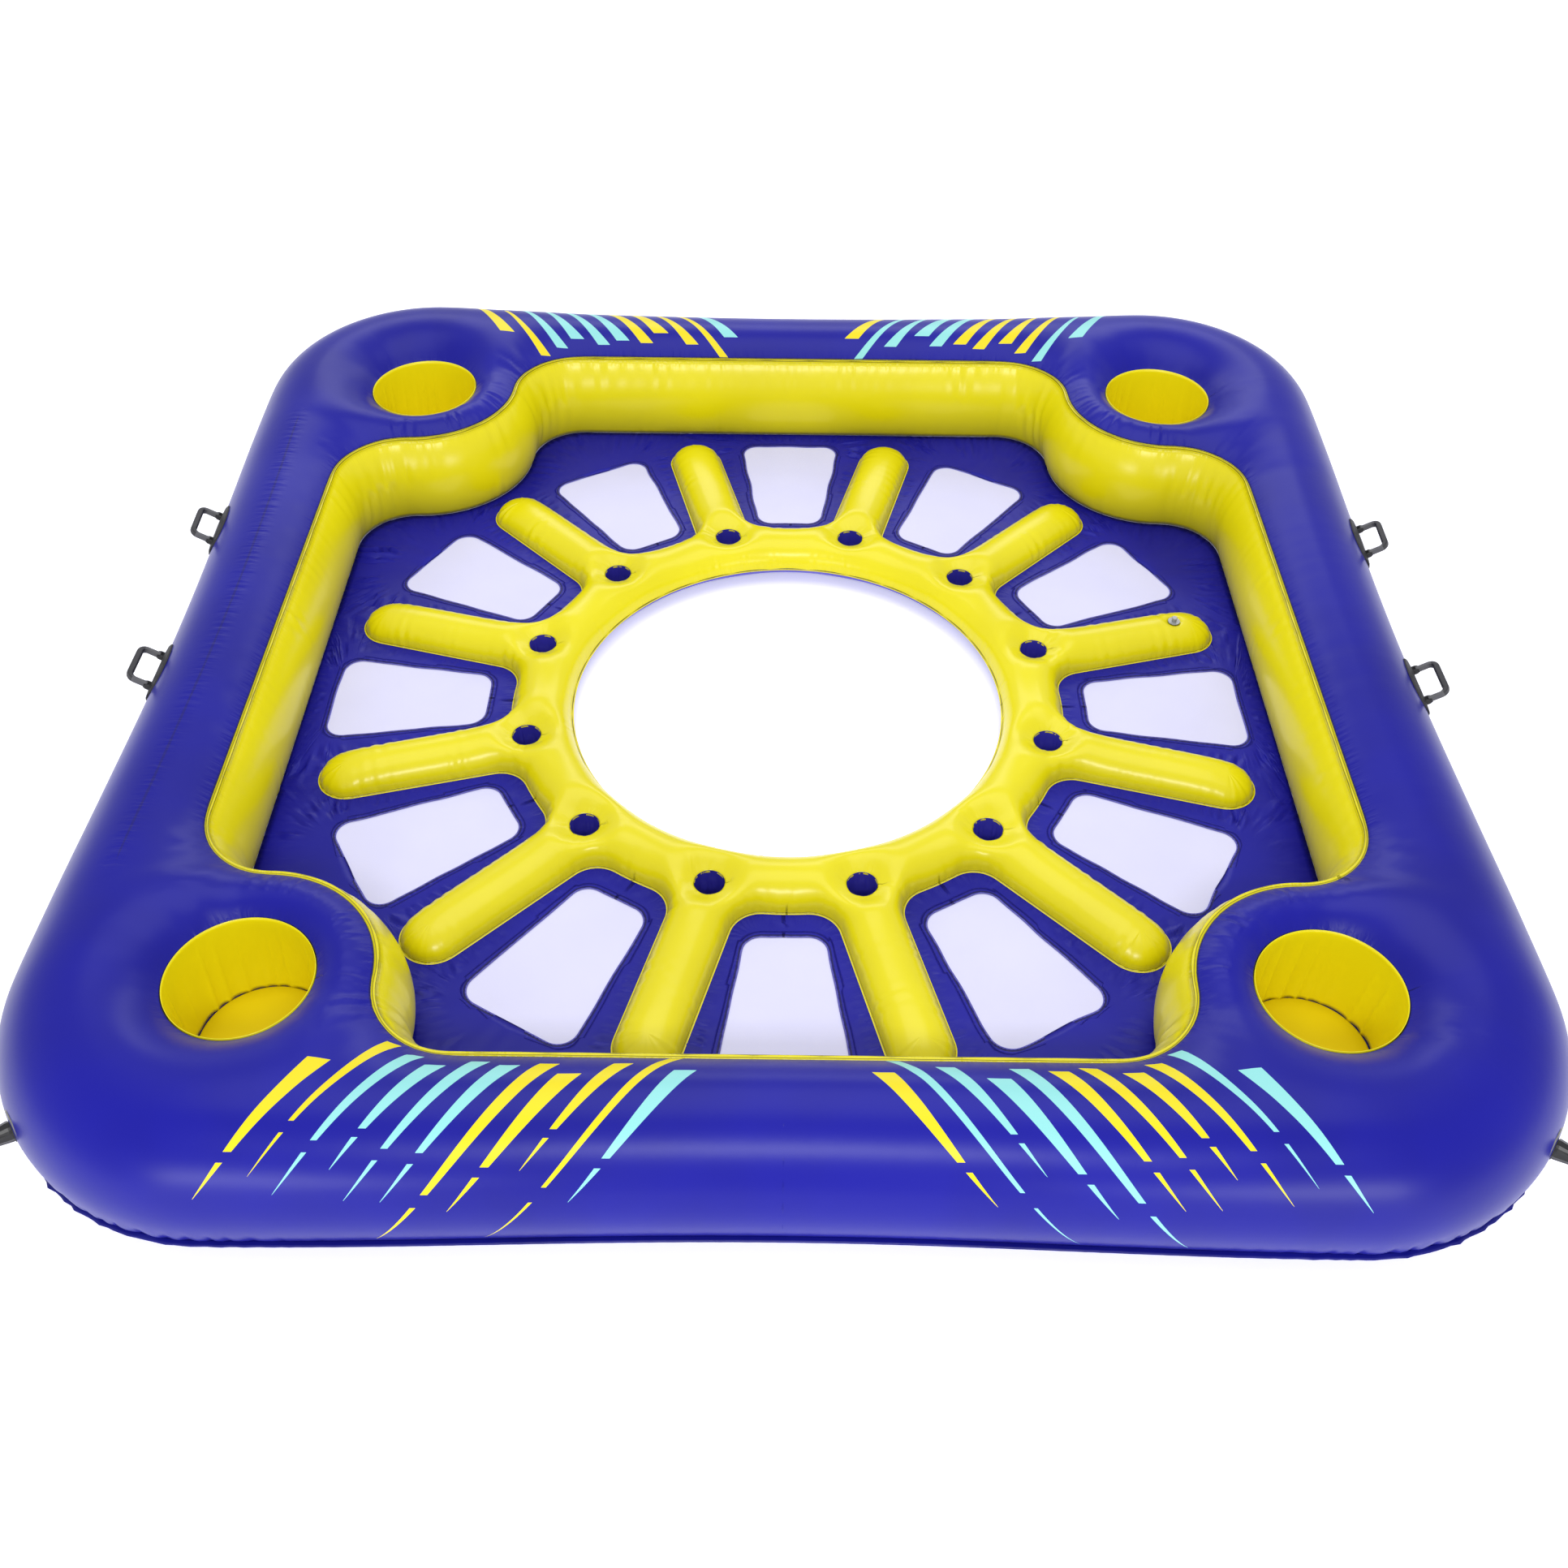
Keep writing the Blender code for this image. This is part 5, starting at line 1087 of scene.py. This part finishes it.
def hubHeights(bm):
    s = hubShape
    bm.verts.ensure_lookup_table()
    bm.verts.index_update()
    coords = np.array([list(v.co) for v in bm.verts])
    flat = bm.copy()
    bmesh.ops.triangulate(flat, faces=flat.faces)
    triangles = [[v.index for v in face.verts] for face in flat.faces]
    flat.free()
    radius, angle = np.hypot(coords[:, 0], coords[:, 1]), np.arctan2(coords[:, 1], coords[:, 0])
    can = np.hypot(coords[:, 0] - plan["canCircle"], coords[:, 1])
    inside = coords[:, 1] > tiny["step"]
    weld = {
        k for k in {v.index for edge in bm.edges if edge.is_boundary for v in edge.verts}
        if radius[k] < plan["openingRadius"] + tiny["length"]
        or (inside[k] and angle[k] < halfSector - tiny["step"])
        or (inside[k] and abs(radius[k] - plan["hubRadius"]) < tiny["length"])
        or radius[k] > plan["spokeReach"] - tiny["length"]
    }
    swell = membrane(coords, triangles, weld)
    upper = s["edge"] + s["swell"] * np.sqrt(2 * swell)
    # The skin dips gently to each can's rim
    ease = smooth((plan["canRadius"] + s["dip"] - can) / (s["dip"] - s["flat"]))
    upper = upper + ease * (plan["canRim"] - upper)
    return upper, s["lowEdge"] - s["lowDeep"] * np.sqrt(swell / swell.max())


def spun(bm):
    # Mirror the half sector and turn it twelve times round the raft's axis
    whole = bmesh.new()
    scratch = bpy.data.meshes.new("sector")
    bm.to_mesh(scratch)
    for number in range(plan["spokes"]):
        for flip in (1.0, -1.0):
            start = len(whole.verts)
            whole.from_mesh(scratch)
            whole.verts.ensure_lookup_table()
            turn = Matrix.Rotation(2 * halfSector * (number + 0.5), 4, "Z") @ Matrix.Diagonal((1.0, flip, 1.0, 1.0))
            bmesh.ops.transform(whole, matrix=turn, verts=whole.verts[start:])
    bpy.data.meshes.remove(scratch)
    bmesh.ops.remove_doubles(whole, verts=whole.verts, dist=hubShape["merged"])
    return whole


def shapeCan(bm):
    # Open the can's disc and round its rim to a soft hexagon
    s, mouth, centre = hubShape, plan["canRadius"], Vector((plan["canCircle"], 0.0))
    inner = [v for v in bm.verts if math.hypot(v.co.x - centre.x, v.co.y) < mouth - s["near"]]
    bmesh.ops.delete(bm, geom=inner, context="VERTS")
    for vert in bm.verts:
        offset = vert.co.xy - centre
        if offset.length < mouth + s["near"]:
            angle = math.atan2(offset.y, offset.x)
            size = mouth * (1.0 + s["hexagon"] * math.cos(6 * angle))
            vert.co = (centre.x + size * math.cos(angle), size * math.sin(angle), plan["canRim"] - s["lipDrop"])


def addFlange(bm, rim):
    # The flat welded margin outside the hub's outline and inside the opening
    s = hubShape
    for height in s["flangeHeights"]:
        _, rim = grown(bm, rim)
        shift = {}
        for edge in rim:
            side = (edge.verts[1].co - edge.verts[0].co).xy
            away = Vector((side.y, -side.x)).normalized()
            probe = 0.5 * (edge.verts[0].co + edge.verts[1].co).xy + away * s["probe"]
            for vert in edge.verts:
                shift[vert] = shift.get(vert, Vector((0.0, 0.0))) + (-away if insideHub(probe) else away)
        for vert, total in shift.items():
            vert.co.xy += total.normalized() * (0.5 * s["flange"])
            vert.co.z = height


def spokeWelds(height):
    whole = mirrored(spokeOutline())
    for number in range(plan["spokes"]):
        yield number, (level(whole @ turnBy(2 * halfSector * (number + 0.5)), height), False)


def buildHub():
    s = hubShape
    flat = hubHalf()
    top, low = flat.copy(), flat.copy()
    for bm, heights in zip((top, low), hubHeights(flat)):
        bm.verts.ensure_lookup_table()
        for vert, height in zip(bm.verts, heights):
            vert.co.z = height
    flat.free()
    shapeCan(top)
    top, low = spun(top), spun(low)
    faceUp(top)
    faceUp(low, False)
    rim = [edge for edge in top.edges if edge.is_boundary]
    margin = [e for e in rim if all(abs(v.co.z - s["edge"]) < 2 * s["near"] for v in e.verts)]
    mouths = [e for e in rim if e not in set(margin)]
    addFlange(top, margin)
    for vert in grown(top, mouths)[0]:
        vert.co.z -= s["lipTurn"]
    mesh = subdivided(top, "hubBody", s["levels"])
    coords, normals = vectorsOf(mesh, "co"), vectorsOf(mesh, "normal")
    curves = []
    for number, weld in spokeWelds(s["edge"]):
        centre = plan["canCircle"] * rays(2 * halfSector * (number + 0.5))
        circle = circleAt(centre, plan["canRadius"] + s["mouthWeld"], s["canPoints"])
        curves += [(number, weld), (welds["cans"] + number, (level(circle, plan["canRim"]), True))]
    opening = circleAt(np.zeros(2), plan["openingRadius"], s["openingPoints"])
    curves.append((welds["opening"], (level(opening, s["edge"]), True)))
    field = weldField(coords, curves)
    raised, before = coords[:, 2] > s["edge"] + s["raised"], coords
    coords = pucker(coords, normals, field, s["wideFolds"], outlineKinds)
    coords = pucker(coords, normals, field, s["fineFolds"], (*outlineKinds, welds["opening"]))
    coords = pucker(coords, normals, field, s["canFolds"], tuple(welds["cans"] + k for k in outlineKinds))
    coords = np.where(raised[:, None], coords, before)
    x, y, height = s["valve"]
    valve = np.hypot(coords[:, 0] - x, coords[:, 1] - y)
    coords[:, 2] += smooth((s["dimple"] - valve) / (s["slope"] * s["dimple"])) * (height - coords[:, 2])
    coords[valve < s["pit"][0], 2] -= s["pit"][1]
    setCoords(mesh, coords)
    setWeld(mesh, field)
    place(mesh, ["hub"], "raft", "yellow_vinyl", "hub_upper_sheet")
    # The under sheet's pale lavender is painted bounce light
    lower = subdivided(low, "hubUnderside", s["levels"])
    setWeld(lower, weldField(vectorsOf(lower, "co"), curves[-1:]))
    place(lower, ["hubUnderBounce"], "raft", "blue_vinyl", "hub_lower_sheet")


def insideHub(spot):
    # Whether a point of the plan lies on the hub or a spoke
    radius = spot.length
    if radius < plan["hubRadius"]:
        return radius >= plan["openingRadius"]
    local = math.atan2(spot.y, spot.x) % (2 * halfSector) - halfSector
    x, y = radius * math.cos(local), abs(radius * math.sin(local))
    if (x < spokeTip and y < plan["spokeHalf"]) or math.hypot(x - spokeTip, y) < plan["spokeHalf"]:
        return True
    fillet, side = plan["spokeFillet"], plan["spokeHalf"] + plan["spokeFillet"]
    centre = filletCentre(plan["hubRadius"], side, fillet)
    return x < centre[0] and y < side and math.hypot(x - centre[0], y - side) > fillet


# The floor with its windows, and the mesh behind them

floorShape = {
    "near": 16, "flank": 44, "far": 26, "back": 36, "rows": 11, "under": 0.004, "thick": 0.0010,
    "inner": 0.75205, "outer": 1.137, "nearHalf": 0.0860, "farHalf": 0.1440, "corner": 0.042, "bend": 10,
    "wallGap": 0.0005, "merge": 0.0006,
    # The windows' edges waver
    "wobble": 0.0017, "wobbleLength": 0.150, "wobbleSeed": 300, "wobbleEase": 0.3,
    "footPoints": (60, 10, 6, 30), "span": 40,
    # Folds: wavelength, reach, depth and seed, the first fuller away from the hub
    "fans": (0.022, 0.050, 0.0080, 81), "fullFrom": 0.86, "fullSpan": 0.22, "least": 0.3,
    "folds": (0.050, 0.060, 0.0022, 83), "windowFolds": (0.060, 0.030, 0.0010, 87), "lines": 0.016,
    "panelRows": (1.0, 0.7, 0.4, 0.1), "panelCentre": (0.95, 0.0), "panelLap": 0.007, "panelHeight": 0.0440,
}


def rounded(corner, before, after):
    # A window's corner as an arc
    s = floorShape
    half = 0.5 * math.acos(float(np.clip(before @ after, -1, 1)))
    centre = corner + (before + after) / np.linalg.norm(before + after) * s["corner"] / math.sin(half)
    first, last = (corner + ray * s["corner"] / math.tan(half) - centre for ray in (before, after))
    start = math.atan2(first[1], first[0])
    turn = (math.atan2(last[1], last[0]) - start + math.pi) % (2 * math.pi) - math.pi
    return centre + s["corner"] * rays(start + turn * np.arange(s["bend"] + 1) / s["bend"])


def windowHalf(offset=0.0):
    # Half of a window's outline from its near middle to its far middle
    s = floorShape
    near = np.array([s["inner"] - offset, s["nearHalf"] + offset])
    far = np.array([s["outer"] + offset, s["farHalf"] + offset])
    side = (far - near) / np.linalg.norm(far - near)
    nearBend, farBend = rounded(near, np.array([0.0, -1.0]), side), rounded(far, -side, np.array([0.0, -1.0]))
    return np.array([[near[0], 0.0]]), nearBend, farBend, np.array([[far[0], 0.0]])


def resample(points, count, includeLast=False):
    points = np.asarray(points)
    run = runAlong(points)
    at = np.linspace(0.0, run[-1], count + 1)
    out = np.stack([np.interp(at, run, points[:, k]) for k in range(2)], 1)
    return out if includeLast else out[:-1]


def reachOf(foot):
    # The wall's foot as a function of the angle about the raft's axis
    angles = np.arctan2(foot[:, 1], foot[:, 0])
    order = np.argsort(angles)
    angles, radii = angles[order], np.hypot(foot[:, 0], foot[:, 1])[order]

    def footAt(angle):
        angle = (np.asarray(angle) + math.pi) % (2 * math.pi) - math.pi
        return np.interp(angle, angles, radii, period=2 * math.pi)[:, None] * rays(angle)

    return footAt


def windowRows(foot):
    # For each window, the rows from its edge to the spokes, the hub and the wall
    s, footAt = floorShape, reachOf(foot)
    start, nearBend, farBend, end = windowHalf()
    half = np.vstack([
        resample(np.vstack([start, nearBend]), s["near"]),
        resample(np.vstack([nearBend[-1:], farBend[:1]]), s["flank"]),
        resample(farBend, s["far"]),
        resample(np.vstack([farBend[-1:], end]), s["back"], True),
    ])
    # The spoke's outline, turned so that the window lies on the x axis and the spoke above it
    spoke = (spokeOutline(-s["under"]) * np.array([1.0, -1.0])) @ turnBy(halfSector)
    bend = hubShape["arc"] + hubShape["fillet"]
    tip = bend + hubShape["side"]
    for number in range(plan["spokes"]):
        turn = 2 * halfSector * number
        spin = turnBy(turn)
        window, edge = [], []
        for flip in (1, -1):
            mirror = np.array([1.0, flip])
            corner = footAt([turn + flip * halfSector]) @ spin.T * mirror
            span = footAt(turn + flip * np.linspace(halfSector, 0.0, s["span"])) @ spin.T * mirror
            side = np.vstack([
                resample(spoke[:bend + 1], s["near"]), resample(spoke[bend:tip + 1], s["flank"]),
                resample(np.vstack([spoke[tip:], corner]), s["far"]), resample(span, s["back"], True),
            ])
            kept = slice(None) if flip > 0 else slice(-2, 0, -1)
            window.append((half * mirror)[kept])
            edge.append((side * mirror)[kept])
        window, edge = np.vstack(window), np.vstack(edge) @ spin
        step = np.roll(window, -1, 0) - np.roll(window, 1, 0)
        outwards = np.stack([step[:, 1], -step[:, 0]], 1) / np.linalg.norm(step, axis=1)[:, None]
        run = runAlong(window)
        ends = np.sin(math.pi * np.clip(run / run[-1], 0, 1)) ** s["wobbleEase"]
        wobble = s["wobble"] * ripple(run, s["wobbleLength"], s["wobbleSeed"] + number) * ends
        window = (window + outwards * wobble[:, None]) @ spin
        course = np.arange(s["rows"] + 1) / s["rows"]
        yield [level(window + (edge - window) * share, plan["floorTop"]) for share in course]


def buildFloor():
    s = floorShape
    seam, seamOut = seamAll(*s["footPoints"])
    foot = seam - seamOut * (plan["wallLean"] + s["wallGap"])
    bm = bmesh.new()
    curves = []
    for (number, weld), rows in zip(spokeWelds(plan["floorTop"]), windowRows(foot)):
        skin(bm, rows, True)
        curves += [(number, weld), (welds["windows"] + number, (rows[0], True))]
    curves.append((welds["foot"], (level(foot, plan["floorTop"]), True)))
    bmesh.ops.remove_doubles(bm, verts=bm.verts, dist=s["merge"])
    faceUp(bm)
    mesh = toMesh(bm, "floorSheet")
    coords = start = vectorsOf(mesh, "co")
    field = weldField(coords, curves)
    up, kinds = np.tile([0.0, 0.0, 1.0], (len(coords), 1)), (*outlineKinds, welds["foot"])
    full = np.clip((np.hypot(coords[:, 0], coords[:, 1]) - s["fullFrom"]) / s["fullSpan"], 0.0, 1.0)
    fans = pucker(start, up, field, s["fans"], kinds) - start
    coords = coords + fans * (s["least"] + (1.0 - s["least"]) * full)[:, None]
    coords = pucker(coords, up, field, s["folds"], kinds)
    coords = pucker(coords, up, field, s["windowFolds"], tuple(welds["windows"] + k for k in outlineKinds))
    setCoords(mesh, coords)
    # Folds start at the hub and the wall only; a window's weld keeps its own gap for its two lines
    window = field[:, 2] > welds["windows"] - 0.5
    steady = weldField(coords, [curve for curve in curves if curve[0] < welds["windows"]])
    setWeld(mesh, np.where(window[:, None] & (field[:, 1:2] < s["lines"]), field, steady))
    made = place(mesh, ["floor"], "raft", "blue_vinyl", "floor_sheet")
    thicken(made, s["thick"])


def buildMesh():
    # The mesh cloth, welded behind each window
    s = floorShape
    loop, centre = mirrored(np.vstack(windowHalf(s["panelLap"])), 1), np.array(s["panelCentre"])
    for number in range(plan["spokes"]):
        spin, tag = turnBy(2 * halfSector * number), "%02d" % (number + 1)
        rows = [level((centre + (loop - centre) * share) @ spin, s["panelHeight"]) for share in s["panelRows"]]
        mesh = skinned("meshPanel_" + tag, rows, True)
        panel = place(mesh, ["mesh"], "raft", "mesh_cloth", "mesh_panel_" + tag)


# Sleeves of the can holders and the cooler wells

canSleeve = {
    "head": -0.0016, "foot": 0.0095, "radius": 0.0342, "footRadius": 0.0312, "folds": 6, "depth": 0.0050,
    "columns": 96, "rows": 12, "floor": (0.75, 0.35, 0.02), "lowest": 0.0085, "seed": 100,
}
coolerSleeve = {
    "head": 0.0008, "foot": 0.0690, "radius": 0.1458, "footRadius": 0.1420, "folds": 22, "depth": 0.0060,
    "columns": 360, "rows": 22, "floor": (), "lowest": 0.0, "seed": 200, "thick": 0.0010,
    "names": ("back_right", "back_left", "front_left", "front_right"),
    # Radius and height of the rows of the well's floor and of the weld round it, where the blue bottom sheet shows in
    # the gap, darkened with painted shade
    "disc": (
        (0.1365, 0.0672), (0.1372, 0.0690), (0.1350, 0.0700), (0.110, 0.0698), (0.07, 0.0695), (0.02, 0.0694),
    ),
    "weld": ((0.142, 0.0678), (0.128, 0.0676)), "inwards": 0.0022, "round": 96,
}


# Pleats: how unevenly they are spread, how sharp and deep they are, and how they grow and lean down the sleeve
pleatShape = {
    "spread": (0.35, 0.22), "power": 0.55, "depths": (0.75, 0.35), "from": 0.10, "over": 0.7, "ease": 0.8,
    "inwards": 0.15, "lean": 0.015,
}


def pleated(s, centre, rim, number):
    # A tube with upright pleats that grow towards its foot, then a gathered floor
    pleat = pleatShape
    angle = np.linspace(0, 2 * math.pi, s["columns"], endpoint=False)
    head, seed, depth = rim + s["head"], s["seed"] + number, s["depth"]
    (slow, quick), (mean, swing) = pleat["spread"], pleat["depths"]
    uneven = slow * np.sin(3 * angle + seed) + quick * np.sin(7 * angle + 2 * seed)
    sharp = 1.0 - np.abs(np.sin(math.pi * (s["folds"] * angle / (2 * math.pi) + uneven))) ** pleat["power"]
    wave = sharp * (mean + swing * np.sin(5 * angle + 3 * seed))
    rows = []
    for share in np.arange(s["rows"] + 1) / s["rows"]:
        amount = depth * np.clip((share - pleat["from"]) / pleat["over"], 0, 1) ** pleat["ease"]
        size = s["radius"] + (s["footRadius"] - s["radius"]) * share
        size = size - amount * (pleat["inwards"] + np.roll(wave, int(share * s["columns"] * pleat["lean"])))
        rows.append(level(centre + size[:, None] * rays(angle), head + (s["foot"] - head) * share))
    return rows + [level(centre + (s["footRadius"] - depth) * share * rays(angle), s["lowest"]) for share in s["floor"]]


def buildSleeves():
    s = coolerSleeve
    for number in range(plan["spokes"]):
        centre, tag = plan["canCircle"] * rays(2 * halfSector * (number + 0.5)), "%02d" % (number + 1)
        mesh = skinned("canSleeve_" + tag, pleated(canSleeve, centre, plan["canRim"], number))
        made = place(mesh, ["canSleeve"], "raft", "blue_vinyl", "can_sleeve_" + tag)
    for quarter, name in enumerate(s["names"]):
        centre = coolerCentre(quarter)
        mesh = skinned("coolerSleeve_" + name, pleated(s, centre, plan["coolerRim"], quarter))
        made = place(mesh, ["coolerSleeve"], "raft", "yellow_vinyl", "cooler_sleeve_" + name)
        thicken(made, s["thick"])
        shifted = centre * (1.0 - s["inwards"] / np.linalg.norm(centre))
        rows = [level(circleAt(shifted, size, s["round"]), height) for size, height in s["disc"]]
        disc = place(
            skinned("coolerFloor_" + name, rows, True), ["coolerFloor"], "raft", "yellow_vinyl", "cooler_floor_" + name,
        )
        # The ring round the well's floor: the blue bottom sheet in the gap, painted darker as shade
        bm = bmesh.new()
        skin(bm, [level(circleAt(centre, size, s["round"]), height) for size, height in s["weld"]], True)
        weld = place(toMesh(bm, "coolerGapShade_" + name), ["gapShadeRing"], "raft", "blue_vinyl")


# Grips: grey two-ridged legs and a dark bar with finger ridges

gripShape = {
    "half": 0.052, "reach": 0.046, "bend": 0.018, "outer": 0.0046, "legDeep": 0.0060, "barDeep": 0.0098,
    "legWide": 0.0078, "barWide": 0.0092, "ridge": 0.0016, "ridges": 7, "section": 32, "pin": 0.0132,
    "legRows": 9, "bendRows": 11, "barRows": 33, "start": -0.001, "power": 0.6, "groove": (0.17, 0.28), "barFrom": 0.6,
    "places": {
        "back": ((1.48421, 0.40486, 0.25860), (0.03026, 0.99954, 0.0), (0.84755, -0.02566, 0.53009)),
        "front": ((1.47840, -0.15004, 0.25860), (-0.01401, 0.99990, 0.0), (0.84794, 0.01187, 0.52996)),
    },
}


def squared(value):
    return np.sign(value) * np.abs(value) ** gripShape["power"]


def gripRows():
    # Sections along the loop, in the pin's frame: along the legs' spread, across it, and away from the tube
    s = gripShape
    half, reach, bend = s["half"], s["reach"], s["bend"]
    steps = [((-half, z), (1.0, 0.0), 0.0) for z in np.linspace(s["start"], reach - bend, s["legRows"])[:-1]]
    for angle in np.linspace(math.pi, 0.5 * math.pi, s["bendRows"])[:-1]:
        x, z = math.cos(angle), math.sin(angle)
        share = (math.pi - angle) / (0.5 * math.pi)
        steps.append(((-half + bend + bend * x, reach - bend + bend * z), (-x, -z), share))
    steps += [((x, reach), (0.0, -1.0), 1.0) for x in np.linspace(-half + bend, 0.0, s["barRows"])]
    steps += [((-p[0], p[1]), (-d[0], d[1]), t) for p, d, t in steps[:-1]][::-1]
    angle = np.linspace(0, 2 * math.pi, s["section"], endpoint=False)
    groove, width = s["groove"]
    rows = []
    for (x, z), (dx, dz), share in steps:
        deep = s["legDeep"] + (s["barDeep"] - s["legDeep"]) * share
        wide = s["legWide"] + (s["barWide"] - s["legWide"]) * share
        if share >= 1.0:
            course = (x + half - bend) / (2.0 * (half - bend)) * s["ridges"]
            deep += s["ridge"] * (abs(math.sin(math.pi * course)) ** s["power"] - 0.5)
        round_ = squared(np.cos(angle)) * (1.0 - groove * (1.0 - share) * np.exp(-(np.sin(angle) / width) ** 2))
        u = 0.5 * (deep - s["outer"]) + 0.5 * (deep + s["outer"]) * round_
        rows.append(np.stack([x + dx * u, wide * squared(np.sin(angle)), z + dz * u], 1))
    return rows


def buildGrips():
    s = gripShape
    rows = gripRows()
    for side, flip in (("right", 1.0), ("left", -1.0)):
        for end, vectors in s["places"].items():
            origin, along, away = np.array(vectors) * np.array([flip, 1.0, 1.0])
            base = origin + away * s["pin"]
            axesThere = np.array([along, np.cross(away, along), away])
            bm = bmesh.new()
            for cap in skin(bm, [base + row @ axesThere for row in rows], True):
                bmesh.ops.contextual_create(bm, geom=cap)
            bmesh.ops.recalc_face_normals(bm, faces=bm.faces)
            for face in bm.faces:
                height = (np.array(face.calc_center_median()) - base) @ away
                face.material_index = int(height > s["reach"] - s["barFrom"] * s["bend"])
            name = "grip_%s_%s" % (side, end)
            mesh = toMesh(bm, "gripLoop_%s_%s" % (side, end))
            place(mesh, ["greyRubber", "gripBar"], name, "grey_rubber", "handle_" + name)


for build, stage in (
    (buildRing, "ring"), (buildFin, "outer seam"), (buildWall, "well wall"), (buildHub, "hub"),
    (buildFloor, "floor"), (buildMesh, "mesh"), (buildSleeves, "sleeves"), (buildGrips, "grips"),
):
    build()
    print(stage)


# The fittings that come over from the CAD model get their finishes here

finishes = {
    "handle_patch": "blackRubber", "handle_grip": "greyRubber", "valve_body": "greyPlastic",
    "valve_cap": "blackPlastic", "cap_tether": "blackPlastic", "valve_insert": "clearPlastic",
    "hub_valve": "clearPlastic", "chamber_baffle": "inner",
}
for name, node in nodes.items():
    for start, finish in finishes.items():
        if name.startswith(start):
            node.data.materials.clear()
            node.data.materials.append(materials[finish])


# Camera, light and floor

cameraLook = {"lens": 35.53, "place": (-0.0065, -2.862, 2.695), "pitch": 44.19, "roll": 0.0115}
cameraData = bpy.data.cameras.new("camera")
cameraData.lens = cameraLook["lens"]
cameraData.sensor_width = 36.0
camera = bpy.data.objects.new("camera", cameraData)
camera.matrix_world = (
    Matrix.Translation(cameraLook["place"])
    @ Matrix.Rotation(math.radians(cameraLook["pitch"]), 4, "X")
    @ Matrix.Rotation(cameraLook["roll"], 4, "Z")
)
scene.collection.objects.link(camera)
scene.camera = camera

stageLook = {
    "size": 14.0, "height": -0.0012, "backdrop": ((0.93, 0.93, 1.0, 1.0), 0.80),
    "floor": {
        "Base Color": rgb(250, 250, 252), "Roughness": 0.9,
        "Emission Color": (0.97, 0.97, 1.0, 1.0), "Emission Strength": 0.28,
    },
}
bm = bmesh.new()
bmesh.ops.create_grid(bm, x_segments=1, y_segments=1, size=stageLook["size"])
bmesh.ops.translate(bm, verts=bm.verts, vec=(0.0, 0.0, stageLook["height"]))
groundMesh = toMesh(bm, "studioFloor")
ground = bpy.data.objects.new("studioFloor", groundMesh)
scene.collection.objects.link(ground)
groundMesh.materials.append(newMaterial("studioFloor", stageLook["floor"])[0])

world = bpy.data.worlds.new("studio")
world.use_nodes = True
scene.world = world
backdrop = world.node_tree.nodes["Background"]
for socket, value in zip(("Color", "Strength"), stageLook["backdrop"]):
    backdrop.inputs[socket].default_value = value
scene.view_settings.view_transform = "Standard"

lamps = (
    {"name": "overhead", "place": (0.0, 0.4, 4.6), "aim": (0.0, 0.0, 0.0), "size": (4.6, 3.4), "power": 80.0},
    {"name": "front", "place": (0.0, -4.8, 4.2), "aim": (0.0, 0.0, 0.1), "size": (2.2, 0.8), "power": 105.0},
    {"name": "lowLeft", "place": (-2.1, -5.0, 0.95), "aim": (-0.4, 0.6, 0.2), "size": (1.4, 0.7), "power": 40.0},
    {"name": "lowRight", "place": (2.1, -5.0, 0.95), "aim": (0.4, 0.6, 0.2), "size": (1.4, 0.7), "power": 40.0},
    {"name": "back", "place": (0.0, 4.4, 2.8), "aim": (0.0, 0.8, 0.2), "size": (5.0, 1.4), "power": 50.0},
)
for lamp in lamps:
    light = bpy.data.lights.new(lamp["name"], "AREA")
    light.shape = "RECTANGLE"
    light.size, light.size_y = lamp["size"]
    light.energy = lamp["power"]
    holder = bpy.data.objects.new(lamp["name"], light)
    spot = Vector(lamp["place"])
    turn = (Vector(lamp["aim"]) - spot).to_track_quat("-Z", "Y")
    holder.matrix_world = Matrix.Translation(spot) @ turn.to_matrix().to_4x4()
    scene.collection.objects.link(holder)
print("stage")
